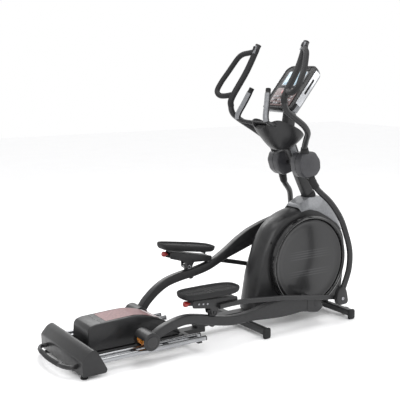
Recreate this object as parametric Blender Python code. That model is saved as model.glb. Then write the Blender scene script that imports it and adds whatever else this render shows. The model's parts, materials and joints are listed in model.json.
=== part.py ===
"""Front-drive elliptical trainer as an assembly of separate pieces.

Frame: +X is forward (towards the console), +Y is the user's left, +Z is up. The origin is on the
floor under the middle of the machine. Sizes are metres. Angles about the Y axis are given as
front-up angles, so a positive angle lifts the +X end.
"""
import math

import bmesh
import bpy
from mathutils import Matrix, Vector

# ---- clearances -------------------------------------------------------------------------------
FRAME_SHIFT = -0.035      # puts the origin under the middle of the whole length
TOUCH = 0.0005            # gap between two pieces that rest on each other
RUN = 0.0008              # radial gap of a turning fit
SIDE_PLAY = 0.003         # sideways gap between links that pass each other

# ---- floor frame ------------------------------------------------------------------------------
REAR_X = -0.925           # rear stabiliser and ramp hinge
MID_X = 0.291             # middle stabiliser
FRONT_X = 1.000           # front stabiliser
STABILISER_HALF = 0.272   # half length of the cross tubes
STABILISER_LOW = 0.022
STABILISER_TOP = 0.062
STABILISER_DEPTH = 0.044
REAR_TUBE_TOP = 0.050
SPINE_HALF = 0.030
SPINE_LOW = 0.030
SPINE_REAR_TOP = 0.060
SPINE_FRONT_TOP = 0.110
CAP_LENGTH = 0.018
FOOT_RADIUS = 0.022
FOOT_Y = 0.246
TRANSPORT_RADIUS = 0.024
TRANSPORT_X = 1.0475
TRANSPORT_Y = 0.180
LIFT_HANDLE_RADIUS = 0.0125
LIFT_HANDLE_REAR_X = REAR_X - 0.103

# ---- ramp -------------------------------------------------------------------------------------
RAMP_PIN_Z = 0.070
RAMP_PIN_RADIUS = 0.006
TRACK_OUTER_Y = 0.262
TRACK_INNER_Y = 0.198
TRACK_HALF = 0.012
TRACK_TOP = 0.0995
TRACK_FRONT_X = -0.150
TRACK_REAR_X = -0.880
RAMP_TUBE_LOW = 0.0625
RAMP_TUBE_TOP = 0.0745
COVER_HALF = 0.100        # centre cover half width
SCREW_X = -0.460          # incline screw
SCREW_RADIUS = 0.008

# ---- drive ------------------------------------------------------------------------------------
CRANK_X = 0.764
CRANK_Z = 0.390
CRANK_RADIUS = 0.2435
CRANK_PHASE = 10.0        # degrees; the right pin is this far behind the lowest point
AXLE_RADIUS = 0.0125
DISC_RADIUS = 0.280
DISC_IN_Y = 0.1095
DISC_OUT_Y = 0.1235
CRANK_ARM_IN_Y = 0.0885
CRANK_ARM_OUT_Y = 0.1085
PIN_RADIUS = 0.013
PIN_BOSS_RADIUS = 0.022
TOWER_IN_Y = 0.050
TOWER_OUT_Y = 0.058
FLYWHEEL_X = 0.490
FLYWHEEL_Z = 0.300
FLYWHEEL_RADIUS = 0.120
FLYWHEEL_HUB_RADIUS = 0.022
PULLEY_RADIUS = 0.150
PULLEY_IN_Y = 0.018
PULLEY_OUT_Y = 0.040
BELT_THICK = 0.003
IDLER_RADIUS = 0.020
IDLER_BORE = 0.006

# ---- housing ----------------------------------------------------------------------------------
SHROUD_HALF = 0.085
SHROUD_WALL = 0.003
SHROUD_LOW = SPINE_FRONT_TOP + TOUCH
RING_OUT_RADIUS = 0.3065
RING_IN_RADIUS = 0.2845
RING_OUT_Y = 0.135

# ---- links on each side -----------------------------------------------------------------------
ROLLER_Z = 0.140
WHEEL_RADIUS = ROLLER_Z - TRACK_TOP - TOUCH
WHEEL_HALF = 0.016
ROLLER_AXLE_RADIUS = 0.008
ARM_Y = 0.230
ARM_HALF = 0.023
ARM_HEIGHT = 0.056
ARM_LENGTH = 1.2516       # roller axle to crank pin
FENDER_OUT_RADIUS = 0.0520
FENDER_IN_RADIUS = 0.0455
FENDER_IN_Y = 0.166
FENDER_OUT_Y = 0.294
FENDER_WALL = 0.006
BUSH_WALL = 0.0035
PEDAL_PIVOT = (0.4423, 0.0831)   # on the connecting arm: along it, above it
PEDAL_ARM_LENGTH = 0.965         # pedal pivot to the swing arm's lower pivot
CHEEK = 0.008
PEDAL_PIN_RADIUS = 0.008
PEDAL_BAR_WIDTH = 0.026
PEDAL_HINGE = (0.110, 0.100)     # on the pedal arm
PEDAL_PITCH = 3.0                # degrees, pedal against pedal arm
PEDAL_REAR = -0.335
PEDAL_FRONT = 0.065
PEDAL_HALF = 0.085
PEDAL_LOW = 0.010
PEDAL_TOP = 0.050
SWING_X = 0.715
SWING_Z = 1.035
SWING_LENGTH = 0.878             # mast axle to the lower pivot
SWING_TUBE_RADIUS = 0.019
SWING_LOWER_Y = 0.306
BOOT_IN_Y = 0.064
BOOT_OUT_Y = 0.170

# ---- mast and console -------------------------------------------------------------------------
MAST_DEPTH = 0.075
MAST_WIDTH = 0.060
MAST_TOP_Z = 1.360
PULSE_RADIUS = 0.0125
PULSE_GRIP_RADIUS = 0.0195
PULSE_MIDDLE_X = 0.6095
CONSOLE_FOOT = (0.560, 1.395)    # lowest point of the console face, x and z
CONSOLE_LEAN = 50.5              # degrees of the face above the floor plane
CONSOLE_LENGTH = 0.345
CONSOLE_HALF = 0.150
BEZEL_THICK = 0.022
HOUSING_THICK = 0.045

SIDES = {"right": -1.0, "left": 1.0}


# ---- scene and materials ----------------------------------------------------------------------
def clear_scene():
    for thing in list(bpy.data.objects):
        bpy.data.objects.remove(thing, do_unlink=True)


def make_material(name, colour, roughness, metallic=0.0):
    material = bpy.data.materials.new(name)
    material.use_nodes = True
    shader = material.node_tree.nodes["Principled BSDF"]
    shader.inputs["Base Color"].default_value = (*colour, 1.0)
    shader.inputs["Roughness"].default_value = roughness
    shader.inputs["Metallic"].default_value = metallic
    return material


LOOKS = {
    "steel_paint": ((0.030, 0.030, 0.034), 0.45, 0.0),
    "plastic": ((0.022, 0.022, 0.025), 0.50, 0.0),
    "gloss": ((0.018, 0.018, 0.020), 0.22, 0.0),
    "silver": ((0.46, 0.46, 0.48), 0.38, 0.0),
    "chrome": ((0.80, 0.80, 0.82), 0.12, 1.0),
    "steel": ((0.55, 0.55, 0.57), 0.30, 1.0),
    "rubber": ((0.015, 0.015, 0.016), 0.70, 0.0),
    "amber": ((0.75, 0.33, 0.05), 0.35, 0.0),
    "red": ((0.55, 0.02, 0.02), 0.35, 0.0),
    "lens": ((0.45, 0.60, 0.70), 0.15, 0.0),
}


# ---- mesh helpers -----------------------------------------------------------------------------
def finish_object(name, mesh, look, place=None, angle=0.0):
    """Link a mesh at place, turned front-up by angle degrees, with its own material."""
    colour, roughness, metallic = LOOKS[look]
    mesh.materials.clear()
    mesh.materials.append(make_material(name + "_material", colour, roughness, metallic))
    thing = bpy.data.objects.new(name, mesh)
    bpy.context.scene.collection.objects.link(thing)
    if place is not None:
        thing.location = place
    thing.rotation_euler = (0.0, -math.radians(angle), 0.0)
    return thing


def mesh_from(vertices, faces, split=False):
    mesh = bpy.data.meshes.new("shape")
    shape = bmesh.new()
    points = [shape.verts.new(v) for v in vertices]
    for face in faces:
        shape.faces.new([points[i] for i in face])
    bmesh.ops.recalc_face_normals(shape, faces=shape.faces)
    if split:
        bmesh.ops.triangulate(shape, faces=shape.faces)
    shape.to_mesh(mesh)
    shape.free()
    return mesh


def loft(rings, split=False):
    """Closed solid through rings of equal point count, capped at both ends.

    Rings that don't lie in a plane need split, which makes triangles of their caps.
    """
    count = len(rings[0])
    vertices = [point for ring in rings for point in ring]
    faces = []
    for row in range(len(rings) - 1):
        for i in range(count):
            j = (i + 1) % count
            low = row * count
            high = low + count
            faces.append((low + i, low + j, high + j, high + i))
    last = (len(rings) - 1) * count
    faces.append(tuple(range(count)))
    faces.append(tuple(range(last, last + count)))
    return mesh_from(vertices, faces, split)


def prism(outline, y0, y1):
    """Outline of (x, z) points extruded from y0 to y1."""
    return loft([[(x, y, z) for x, z in outline] for y in (y0, y1)])


def block(low, high):
    x0, y0, z0 = low
    x1, y1, z1 = high
    return prism([(x0, z0), (x1, z0), (x1, z1), (x0, z1)], y0, y1)


def circle(radius, sides, centre=(0.0, 0.0), start=0.0):
    step = 2.0 * math.pi / sides
    return [(centre[0] + radius * math.cos(start + i * step),
             centre[1] + radius * math.sin(start + i * step)) for i in range(sides)]


def rod_y(radius, y0, y1, centre=(0.0, 0.0), sides=16):
    return prism(circle(radius, sides, centre, math.pi / sides), y0, y1)


def ring_y(inner, outer, y0, y1, centre=(0.0, 0.0), sides=16):
    """Flat-ended tube about an axis along Y."""
    return turned_y([(inner, y0), (outer, y0), (outer, y1), (inner, y1)], centre, sides)


def turned_y(profile, centre=(0.0, 0.0), sides=32):
    """Closed (radius, y) profile, clear of the axis, turned about an axis along Y."""
    count = len(profile)
    vertices = []
    faces = []
    for i in range(sides):
        angle = 2.0 * math.pi * (i + 0.5) / sides
        for radius, y in profile:
            vertices.append((centre[0] + radius * math.cos(angle), y,
                             centre[1] + radius * math.sin(angle)))
        for j in range(count):
            k = (j + 1) % count
            a = i * count
            b = ((i + 1) % sides) * count
            faces.append((a + j, a + k, b + k, b + j))
    return mesh_from(vertices, faces)


def turned_solid_y(profile, centre=(0.0, 0.0), sides=32):
    """Stack of (radius, y) circles, closed at both ends."""
    return loft([[(x, y, z) for x, z in circle(radius, sides, centre, math.pi / sides)]
                 for radius, y in profile])


def rod_z(radius, z0, z1, centre=(0.0, 0.0), sides=12):
    return loft([[(x, y, z) for x, y in circle(radius, sides, centre)] for z in (z0, z1)])


def smooth_path(points, per_span=3):
    """Catmull-Rom curve through the points."""
    points = [Vector(p) for p in points]
    ends = [points[0] * 2 - points[1]] + points + [points[-1] * 2 - points[-2]]
    path = []
    for i in range(1, len(ends) - 2):
        a, b, c, d = ends[i - 1:i + 3]
        for step in range(per_span):
            t = step / per_span
            path.append(0.5 * ((2 * b) + (c - a) * t + (2 * a - 5 * b + 4 * c - d) * t ** 2
                               + (3 * b - a - 3 * c + d) * t ** 3))
    path.append(points[-1])
    return path


def sweep(path, section):
    """Section of (sideways, outward) offsets carried along a path without twist."""
    rings = []
    side = None
    for i, point in enumerate(path):
        ahead = path[min(i + 1, len(path) - 1)]
        behind = path[max(i - 1, 0)]
        tangent = (ahead - behind).normalized()
        if side is None:
            seed = Vector((0.0, 1.0, 0.0))
            if abs(tangent.dot(seed)) > 0.9:
                seed = Vector((1.0, 0.0, 0.0))
            side = seed
        side = (side - tangent * side.dot(tangent)).normalized()
        normal = tangent.cross(side)
        rings.append([point + side * a + normal * b for a, b in section])
    return loft(rings)


def tube(points, radius, sides=10, per_span=3):
    return sweep(smooth_path(points, per_span), circle(radius, sides))


def chamfered(width, height, cut):
    """Rectangle section with cut corners, as (sideways, outward) offsets."""
    a, b = width / 2, height / 2
    return [(-a + cut, -b), (a - cut, -b), (a, -b + cut), (a, b - cut),
            (a - cut, b), (-a + cut, b), (-a, b - cut), (-a, -b + cut)]


def link_outline(start, start_radius, end, end_radius, steps=6):
    """Outline of a bar with round ends about two centres."""
    dx, dz = end[0] - start[0], end[1] - start[1]
    distance = math.hypot(dx, dz)
    heading = math.atan2(dz, dx)
    spread = math.acos((start_radius - end_radius) / distance)
    outline = []
    for i in range(steps + 1):
        angle = heading - spread + 2 * spread * i / steps
        outline.append((end[0] + end_radius * math.cos(angle), end[1] + end_radius * math.sin(angle)))
    for i in range(steps + 1):
        angle = heading + spread + (2 * math.pi - 2 * spread) * i / steps
        outline.append((start[0] + start_radius * math.cos(angle),
                        start[1] + start_radius * math.sin(angle)))
    return outline


def inset(outline, distance):
    """Outline moved inwards by distance, for outlines without sharp inner corners."""
    area = sum(a[0] * b[1] - b[0] * a[1] for a, b in zip(outline, outline[1:] + outline[:1]))
    turn = 1.0 if area > 0 else -1.0
    moved = []
    count = len(outline)
    for i, point in enumerate(outline):
        before = Vector(outline[i - 1])
        after = Vector(outline[(i + 1) % count])
        here = Vector(point)
        first = (here - before).normalized()
        second = (after - here).normalized()
        inward_a = Vector((-first.y, first.x)) * turn
        inward_b = Vector((-second.y, second.x)) * turn
        bisector = (inward_a + inward_b).normalized()
        reach = distance / max(0.35, bisector.dot(inward_a))
        moved.append(tuple(here + bisector * reach))
    return moved


def rounded(outline, radius, steps=3):
    """Outline with each corner replaced by a short arc-like run."""
    result = []
    count = len(outline)
    for i, point in enumerate(outline):
        here = Vector(point)
        before = Vector(outline[i - 1]) - here
        after = Vector(outline[(i + 1) % count]) - here
        reach = min(radius, before.length * 0.45, after.length * 0.45)
        start = here + before.normalized() * reach
        end = here + after.normalized() * reach
        for step in range(steps + 1):
            t = step / steps
            result.append(tuple(start * (1 - t) ** 2 + here * 2 * t * (1 - t) + end * t ** 2))
    return result


def boolean(target, tools, operation):
    """Join meshes to a mesh, or cut them from it. All are in the same coordinates."""
    body = bpy.data.objects.new("body", target)
    bpy.context.scene.collection.objects.link(body)
    for tool_mesh in tools:
        tool = bpy.data.objects.new("tool", tool_mesh)
        tool.hide_render = True
        tool.display_type = "WIRE"
        bpy.context.scene.collection.objects.link(tool)
        step = body.modifiers.new("step", "BOOLEAN")
        step.operation = operation
        step.solver = "EXACT"
        step.object = tool
        bpy.context.view_layer.update()
        ready = body.evaluated_get(bpy.context.evaluated_depsgraph_get())
        mesh = bpy.data.meshes.new_from_object(ready)
        body.modifiers.clear()
        body.data = mesh
        bpy.data.objects.remove(tool, do_unlink=True)
    mesh = body.data
    bpy.data.objects.remove(body, do_unlink=True)
    return mesh


def join(*meshes):
    return boolean(meshes[0], meshes[1:], "UNION")


def cut(mesh, *tools):
    return boolean(mesh, tools, "DIFFERENCE")


def shade(thing):
    thing.data.shade_smooth()
    thing.data.set_sharp_from_angle(angle=math.radians(35))


def add(name, mesh, look, place=None, angle=0.0):
    thing = finish_object(name, mesh, look, place, angle)
    thing.location.x += FRAME_SHIFT
    shade(thing)
    return thing


def span_y(sign, near, far):
    """Two distances from the middle plane as an ordered pair of y values on one side."""
    return tuple(sorted((sign * near, sign * far)))


# ---- linkage geometry -------------------------------------------------------------------------
def turned(point, angle):
    a = math.radians(angle)
    return (point[0] * math.cos(a) - point[1] * math.sin(a),
            point[0] * math.sin(a) + point[1] * math.cos(a))


def moved(origin, point, angle):
    step = turned(point, angle)
    return (origin[0] + step[0], origin[1] + step[1])


def solve_side(sign):
    """Joint places and link angles of one side from the crank pin's place."""
    phase = math.radians(CRANK_PHASE)
    pin = (CRANK_X + sign * CRANK_RADIUS * math.sin(phase),
           CRANK_Z + sign * CRANK_RADIUS * math.cos(phase))
    rise = pin[1] - ROLLER_Z
    roller = (pin[0] - math.sqrt(ARM_LENGTH ** 2 - rise ** 2), ROLLER_Z)
    arm_angle = math.degrees(math.asin(rise / ARM_LENGTH))
    pivot = moved(roller, PEDAL_PIVOT, arm_angle)
    gap = (SWING_X - pivot[0], SWING_Z - pivot[1])
    distance = math.hypot(*gap)
    along = (distance ** 2 + PEDAL_ARM_LENGTH ** 2 - SWING_LENGTH ** 2) / (2 * distance)
    offset = math.sqrt(PEDAL_ARM_LENGTH ** 2 - along ** 2)
    lower = (pivot[0] + (gap[0] * along + gap[1] * offset) / distance,
             pivot[1] + (gap[1] * along - gap[0] * offset) / distance)
    pedal_angle = math.degrees(math.atan2(lower[1] - pivot[1], lower[0] - pivot[0]))
    swing_angle = math.degrees(math.atan2(lower[0] - SWING_X, SWING_Z - lower[1]))
    return {"pin": pin, "roller": roller, "arm_angle": arm_angle, "pivot": pivot,
            "lower": lower, "pedal_angle": pedal_angle, "swing_angle": swing_angle}


# ---- floor frame ------------------------------------------------------------------------------
def build_spine():
    rear_end = REAR_X + 0.025 + TOUCH
    low_front = STABILISER_TOP + TOUCH
    rear_beam = block((rear_end, -SPINE_HALF, SPINE_LOW), (0.0, SPINE_HALF, SPINE_REAR_TOP))
    step = block((-0.05, -SPINE_HALF + 0.001, SPINE_LOW + 0.001),
                 (-0.005, SPINE_HALF - 0.001, SPINE_FRONT_TOP - 0.001))
    front_end = FRONT_X + STABILISER_DEPTH / 2
    front_beam = block((-0.06, -SPINE_HALF - 0.002, low_front),
                       (front_end, SPINE_HALF + 0.002, SPINE_FRONT_TOP))
    add("main_spine", join(rear_beam, step, front_beam), "steel_paint")


def build_axle_tower():
    """Two side plates on a foot plate; they hold the crank axle and the flywheel axle."""
    foot_low = SPINE_FRONT_TOP + TOUCH
    rear, front = FLYWHEEL_X - 0.110, CRANK_X + 0.045
    foot = block((rear, -TOWER_OUT_Y, foot_low), (front, TOWER_OUT_Y, foot_low + 0.008))
    outline = [(rear + 0.005, foot_low + 0.002), (front - 0.010, foot_low + 0.002),
               (CRANK_X + 0.050, CRANK_Z),
               (CRANK_X + 0.030, CRANK_Z + 0.045), (CRANK_X - 0.030, CRANK_Z + 0.045),
               (FLYWHEEL_X + 0.010, FLYWHEEL_Z + 0.050), (FLYWHEEL_X - 0.040, FLYWHEEL_Z + 0.030)]
    plates = [prism(outline, *span_y(sign, TOWER_IN_Y, TOWER_OUT_Y)) for sign in (-1.0, 1.0)]
    holes = [rod_y(AXLE_RADIUS + RUN, -0.07, 0.07, (CRANK_X, CRANK_Z), 16),
             rod_y(0.008 + RUN, -0.07, 0.07, (FLYWHEEL_X, FLYWHEEL_Z), 16)]
    spot = idler_place()
    stud = rod_y(IDLER_BORE - RUN, PULLEY_IN_Y + 0.002, TOWER_IN_Y + 0.002, (spot.x, spot.y), 12)
    add("axle_tower", join(cut(join(foot, *plates), *holes), stud), "steel_paint")


def build_stabilisers():
    half = STABILISER_HALF
    lugs = []
    for sign in (-1.0, 1.0):
        outline = link_outline((REAR_X, RAMP_PIN_Z), 0.013, (REAR_X, REAR_TUBE_TOP - 0.010), 0.015)
        lugs.append(prism(outline, *span_y(sign, 0.107, 0.119)))
    tube_mesh = block((REAR_X - 0.020, -half, STABILISER_LOW), (REAR_X + 0.025, half, REAR_TUBE_TOP))
    pin = rod_y(RAMP_PIN_RADIUS, -0.118, 0.118, (REAR_X, RAMP_PIN_Z), 16)
    add("rear_stabiliser", join(tube_mesh, *lugs, pin), "steel_paint")
    reach = STABILISER_DEPTH / 2
    for name, x in (("mid_stabiliser", MID_X), ("front_stabiliser", FRONT_X)):
        outline = rounded([(x - reach, STABILISER_LOW), (x + reach, STABILISER_LOW),
                           (x + reach, STABILISER_TOP), (x - reach, STABILISER_TOP)], 0.008, 2)
        cap = rounded([(x - reach - 0.004, 0.0), (x + reach + 0.004, 0.0),
                       (x + reach + 0.004, STABILISER_TOP + 0.004),
                       (x - reach - 0.004, STABILISER_TOP + 0.004)], 0.012, 3)
        extra = [prism(cap, *span_y(sign, half - 0.002, half + CAP_LENGTH)) for sign in (-1.0, 1.0)]
        if name.startswith("front"):
            extra += wheel_forks()
        add(name, join(prism(outline, -half, half), *extra), "steel_paint")


def wheel_forks():
    """Cheeks and pins that carry the transport wheels."""
    parts = []
    centre = (TRANSPORT_X, TRANSPORT_RADIUS + 0.002)
    for sign in (-1.0, 1.0):
        outline = link_outline(centre, 0.008, (FRONT_X + 0.010, 0.034), 0.010)
        for near in (TRANSPORT_Y - 0.018, TRANSPORT_Y + 0.012):
            parts.append(prism(outline, *span_y(sign, near, near + 0.006)))
        parts.append(rod_y(0.004 - RUN, *span_y(sign, TRANSPORT_Y - 0.015, TRANSPORT_Y + 0.015),
                           centre, 12))
    return parts


def build_feet_and_wheels():
    for side, sign in SIDES.items():
        pad = rod_z(FOOT_RADIUS, 0.0, 0.010)
        neck = rod_z(0.007, 0.008, STABILISER_LOW - TOUCH)
        add("levelling_foot_" + side, join(pad, neck), "rubber", (REAR_X, sign * FOOT_Y, 0.0))
        low, high = span_y(sign, TRANSPORT_Y - 0.011, TRANSPORT_Y + 0.011)
        profile = [(0.004, low), (TRANSPORT_RADIUS - 0.003, low), (TRANSPORT_RADIUS, low + 0.003),
                   (TRANSPORT_RADIUS, high - 0.003), (TRANSPORT_RADIUS - 0.003, high), (0.004, high)]
        mesh = turned_y([(r, y - sign * TRANSPORT_Y) for r, y in profile], sides=16)
        place = (TRANSPORT_X, sign * TRANSPORT_Y, TRANSPORT_RADIUS + 0.002)
        add("transport_wheel_" + side, mesh, "rubber", place)


def build_rear_cover():
    """Cover over the rear cross tube, open below and towards the rails."""
    outer = [(-0.025, 0.020), (-0.028, 0.107), (0.010, 0.150), (0.042, 0.164), (0.061, 0.152),
             (0.079, 0.120), (0.122, 0.040), (0.115, 0.020)]
    outer = [(REAR_X + x, z) for x, z in outer]
    wall = 0.004
    half = STABILISER_HALF + 0.012
    shell = prism(outer, -half, half)
    hollow = [(-0.0205, 0.010), (-0.024, 0.105), (0.013, 0.146), (0.041, 0.1585), (0.057, 0.149),
              (0.0735, 0.119), (0.135, 0.119), (0.135, 0.010)]
    hollow = [(REAR_X + x, z) for x, z in hollow]
    room = prism(hollow, -half + wall, half - wall)
    add("rear_cover", cut(shell, room), "plastic")
    start = REAR_X - 0.0275 - TOUCH
    rear = LIFT_HANDLE_REAR_X
    points = [(start, 0.205, 0.060), (start - 0.030, 0.205, 0.060), (rear + 0.026, 0.182, 0.060),
              (rear + 0.010, 0.135, 0.060), (rear, 0.0, 0.060)]
    points += [(x, -y, z) for x, y, z in reversed(points[:-1])]
    add("rear_lift_handle", tube(points, LIFT_HANDLE_RADIUS, 10, 2), "steel_paint")


# ---- ramp -------------------------------------------------------------------------------------
def build_ramp():
    low, high = RAMP_TUBE_LOW, RAMP_TUBE_TOP
    pieces = []
    rear_bar, lug_end = REAR_X + 0.040, REAR_X + 0.035
    for x in (rear_bar, -0.195):
        pieces.append(block((x - 0.014, -0.270, low), (x + 0.014, 0.270, high)))
    for sign in (-1.0, 1.0):
        bar = span_y(sign, 0.079, 0.1045)
        pieces.append(block((lug_end, bar[0], low + 0.001), (-0.190, bar[1], high - 0.001)))
        lug = link_outline((REAR_X, RAMP_PIN_Z), 0.011, (lug_end, RAMP_PIN_Z - 0.002), 0.006)
        pieces.append(prism(lug, *span_y(sign, 0.081, 0.097)))
        post = span_y(sign, 0.084, 0.092)
        pieces.append(block((SCREW_X - 0.020, post[0], low + 0.002), (SCREW_X + 0.020, post[1], 0.164)))
    pieces.append(block((SCREW_X - 0.036, -0.091, 0.156), (SCREW_X + 0.044, 0.091, 0.166)))
    frame = join(*pieces)
    slot = block((SCREW_X - 0.014, -0.012, 0.140), (SCREW_X + 0.028, 0.012, 0.180))
    pin_hole = rod_y(RAMP_PIN_RADIUS + RUN, -0.15, 0.15, (REAR_X, RAMP_PIN_Z), 16)
    add("ramp_frame", cut(frame, slot, pin_hole), "steel_paint")
    for side, sign in SIDES.items():
        build_track(side, sign)
    build_centre_cover()


def build_track(side, sign):
    """Two round-topped tracks on shallow sleepers."""
    low = RAMP_TUBE_TOP + TOUCH
    pieces = []
    for middle in (TRACK_INNER_Y, TRACK_OUTER_Y):
        a = TRACK_HALF
        section = [(-a, low), (a, low), (a, TRACK_TOP - 0.006), (a - 0.003, TRACK_TOP - 0.002),
                   (a - 0.008, TRACK_TOP), (-a + 0.008, TRACK_TOP), (-a + 0.003, TRACK_TOP - 0.002),
                   (-a, TRACK_TOP - 0.006)]
        rings = [[(x, sign * middle + y, z) for y, z in section]
                 for x in (TRACK_REAR_X, TRACK_FRONT_X)]
        pieces.append(loft(rings))
    for x in (-0.840, -0.600, -0.390, -0.190):
        ends = span_y(sign, TRACK_INNER_Y - 0.006, TRACK_OUTER_Y + 0.006)
        pieces.append(block((x - 0.015, ends[0], low + 0.001), (x + 0.015, ends[1], low + 0.009)))
    add("track_" + side, join(*pieces), "chrome")


def build_centre_cover():
    floor = RAMP_TUBE_TOP + TOUCH
    outer = [(-0.836, floor), (-0.829, 0.205), (-0.815, 0.224), (-0.780, 0.234), (-0.577, 0.241),
             (-0.510, 0.240), (-0.429, 0.221), (-0.343, 0.186), (-0.263, 0.132), (-0.228, 0.098),
             (-0.222, floor)]
    wall = 0.004
    soft = 0.010
    small = shrink_top(outer, soft, floor)
    shell = loft([[(x, y, z) for x, z in ring] for y, ring in (
        (-COVER_HALF, small), (-COVER_HALF + soft, outer), (COVER_HALF - soft, outer),
        (COVER_HALF, small))])
    hollow = sink(shrink_top(outer, wall, floor), floor)
    hollow_end = sink(shrink_top(outer, wall + soft * 0.8, floor), floor)
    half = COVER_HALF - wall
    room = loft([[(x, y, z) for x, z in ring] for y, ring in (
        (-half, hollow_end), (-half + soft, hollow), (half - soft, hollow), (half, hollow_end))])
    add("centre_cover", cut(shell, room), "plastic")


def sink(outline, floor):
    """Outline with its floor points dropped a little, for a hollow that is open below."""
    return [(x, z - 0.02) if abs(z - floor) < 1e-6 else (x, z) for x, z in outline]


def shrink_top(outline, distance, floor):
    """Outline moved inwards, with the points on the floor line kept on it."""
    return [(x, floor) if abs(old[1] - floor) < 1e-6 else (x, z)
            for (x, z), old in zip(inset(outline, distance), outline)]


def build_incline_drive():
    motor_low = SPINE_REAR_TOP + TOUCH
    case = block((SCREW_X - 0.045, -0.035, motor_low), (SCREW_X + 0.045, 0.035, 0.115))
    collar = rod_z(0.018, 0.113, 0.128, (SCREW_X, 0.0))
    bore = rod_z(SCREW_RADIUS + RUN, 0.090, 0.140, (SCREW_X, 0.0))
    add("incline_motor", cut(join(case, collar), bore), "plastic")
    screw = rod_z(SCREW_RADIUS, 0.091, 0.205)
    add("incline_screw", screw, "steel", (SCREW_X, 0.0, 0.0))


# ---- drive train ------------------------------------------------------------------------------
def build_crank():
    centre = (CRANK_X, CRANK_Z)
    pieces = [rod_y(AXLE_RADIUS, -CRANK_ARM_OUT_Y + 0.002, CRANK_ARM_OUT_Y - 0.002, (0.0, 0.0), 20)]
    pulley_gap = TOUCH
    for side, sign in SIDES.items():
        pin = solve_side(sign)["pin"]
        local = (pin[0] - centre[0], pin[1] - centre[1])
        bar = link_outline((0.0, 0.0), 0.032, local, 0.024)
        pieces.append(prism(bar, *span_y(sign, CRANK_ARM_IN_Y, CRANK_ARM_OUT_Y - TOUCH)))
        face = [(DISC_RADIUS - 0.006, sign * DISC_IN_Y), (DISC_RADIUS, sign * (DISC_IN_Y + 0.004)),
                (DISC_RADIUS, sign * (DISC_OUT_Y - 0.006)), (DISC_RADIUS - 0.006, sign * DISC_OUT_Y),
                (DISC_RADIUS - 0.030, sign * DISC_OUT_Y)]
        disc = turned_solid_y(face, sides=36)
        boss = [(PIN_BOSS_RADIUS + 0.008, DISC_OUT_Y - 0.004), (PIN_BOSS_RADIUS + 0.008, 0.165),
                (PIN_BOSS_RADIUS, 0.172), (PIN_BOSS_RADIUS, 0.192), (PIN_RADIUS, 0.192),
                (PIN_RADIUS, ARM_Y - ARM_HALF - 0.0015)]
        pin_rod = turned_solid_y([(r, sign * y) for r, y in boss], local, 16)
        add("crank_disc_" + side, join(disc, pin_rod), "gloss", (CRANK_X, 0.0, CRANK_Z))
    add("crank_shaft", join(*pieces), "steel", (CRANK_X, 0.0, CRANK_Z))
    bore = AXLE_RADIUS + pulley_gap
    profile = [(bore, PULLEY_IN_Y - 0.008), (0.035, PULLEY_IN_Y - 0.008), (0.035, PULLEY_IN_Y),
               (PULLEY_RADIUS, PULLEY_IN_Y), (PULLEY_RADIUS, PULLEY_OUT_Y), (bore, PULLEY_OUT_Y)]
    add("drive_pulley", turned_y(profile, sides=24), "plastic", (CRANK_X, 0.0, CRANK_Z))


def build_flywheel():
    place = (FLYWHEEL_X, 0.0, FLYWHEEL_Z)
    hub = FLYWHEEL_HUB_RADIUS
    profile = [(0.008, -TOWER_OUT_Y + 0.001), (0.008, -0.044), (FLYWHEEL_RADIUS - 0.004, -0.044),
               (FLYWHEEL_RADIUS, -0.040), (FLYWHEEL_RADIUS, -0.004), (FLYWHEEL_RADIUS - 0.004, 0.0),
               (hub, 0.001), (hub, 0.045), (0.008, 0.045), (0.008, TOWER_OUT_Y - 0.001)]
    add("flywheel", turned_solid_y(profile, sides=24), "steel", place)


def idler_place():
    """Idler under the lower run of the belt, halfway between the two pulleys."""
    start = Vector((FLYWHEEL_X, FLYWHEEL_Z))
    end = Vector((CRANK_X, CRANK_Z))
    reach = end - start
    heading = math.atan2(reach.y, reach.x)
    small = FLYWHEEL_HUB_RADIUS + TOUCH
    big = PULLEY_RADIUS + TOUCH
    spread = math.acos((small - big) / reach.length)
    normal = Vector((math.cos(heading - spread), math.sin(heading - spread)))
    middle = (start + normal * small) * 0.5 + (end + normal * big) * 0.5
    return middle + normal * (BELT_THICK + IDLER_RADIUS + TOUCH)


def build_belt():
    start, end = (FLYWHEEL_X, FLYWHEEL_Z), (CRANK_X, CRANK_Z)
    small, big = FLYWHEEL_HUB_RADIUS + TOUCH, PULLEY_RADIUS + TOUCH
    low, high = PULLEY_IN_Y + 0.003, PULLEY_OUT_Y - 0.003
    outer = link_outline(start, small + BELT_THICK, end, big + BELT_THICK, 18)
    inner = link_outline(start, small + 0.0012, end, big + 0.0012, 18)
    band = cut(prism(outer, low, high), prism(inner, low - 0.01, high + 0.01))
    add("drive_belt", band, "rubber")
    spot = idler_place()
    wheel = turned_y([(IDLER_BORE, low - 0.002), (IDLER_RADIUS, low - 0.002),
                      (IDLER_RADIUS, high + 0.002), (IDLER_BORE, high + 0.002)], sides=16)
    add("belt_idler", wheel, "plastic", (spot.x, 0.0, spot.y))


def build_brake():
    """Horseshoe magnet carrier around the rear of the flywheel rim."""
    back = FLYWHEEL_X - FLYWHEEL_RADIUS
    outline = [(back - 0.012, 0.232), (back + 0.030, 0.215), (back + 0.030, 0.270),
               (back - 0.012, 0.272)]
    body = prism(outline, -0.0495, 0.0060)
    gap = turned_solid_y([(FLYWHEEL_RADIUS + 0.003, -0.0465), (FLYWHEEL_RADIUS + 0.003, 0.0030)],
                         (FLYWHEEL_X, FLYWHEEL_Z), 32)
    add("brake_magnets", cut(body, gap), "steel_paint")


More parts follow.
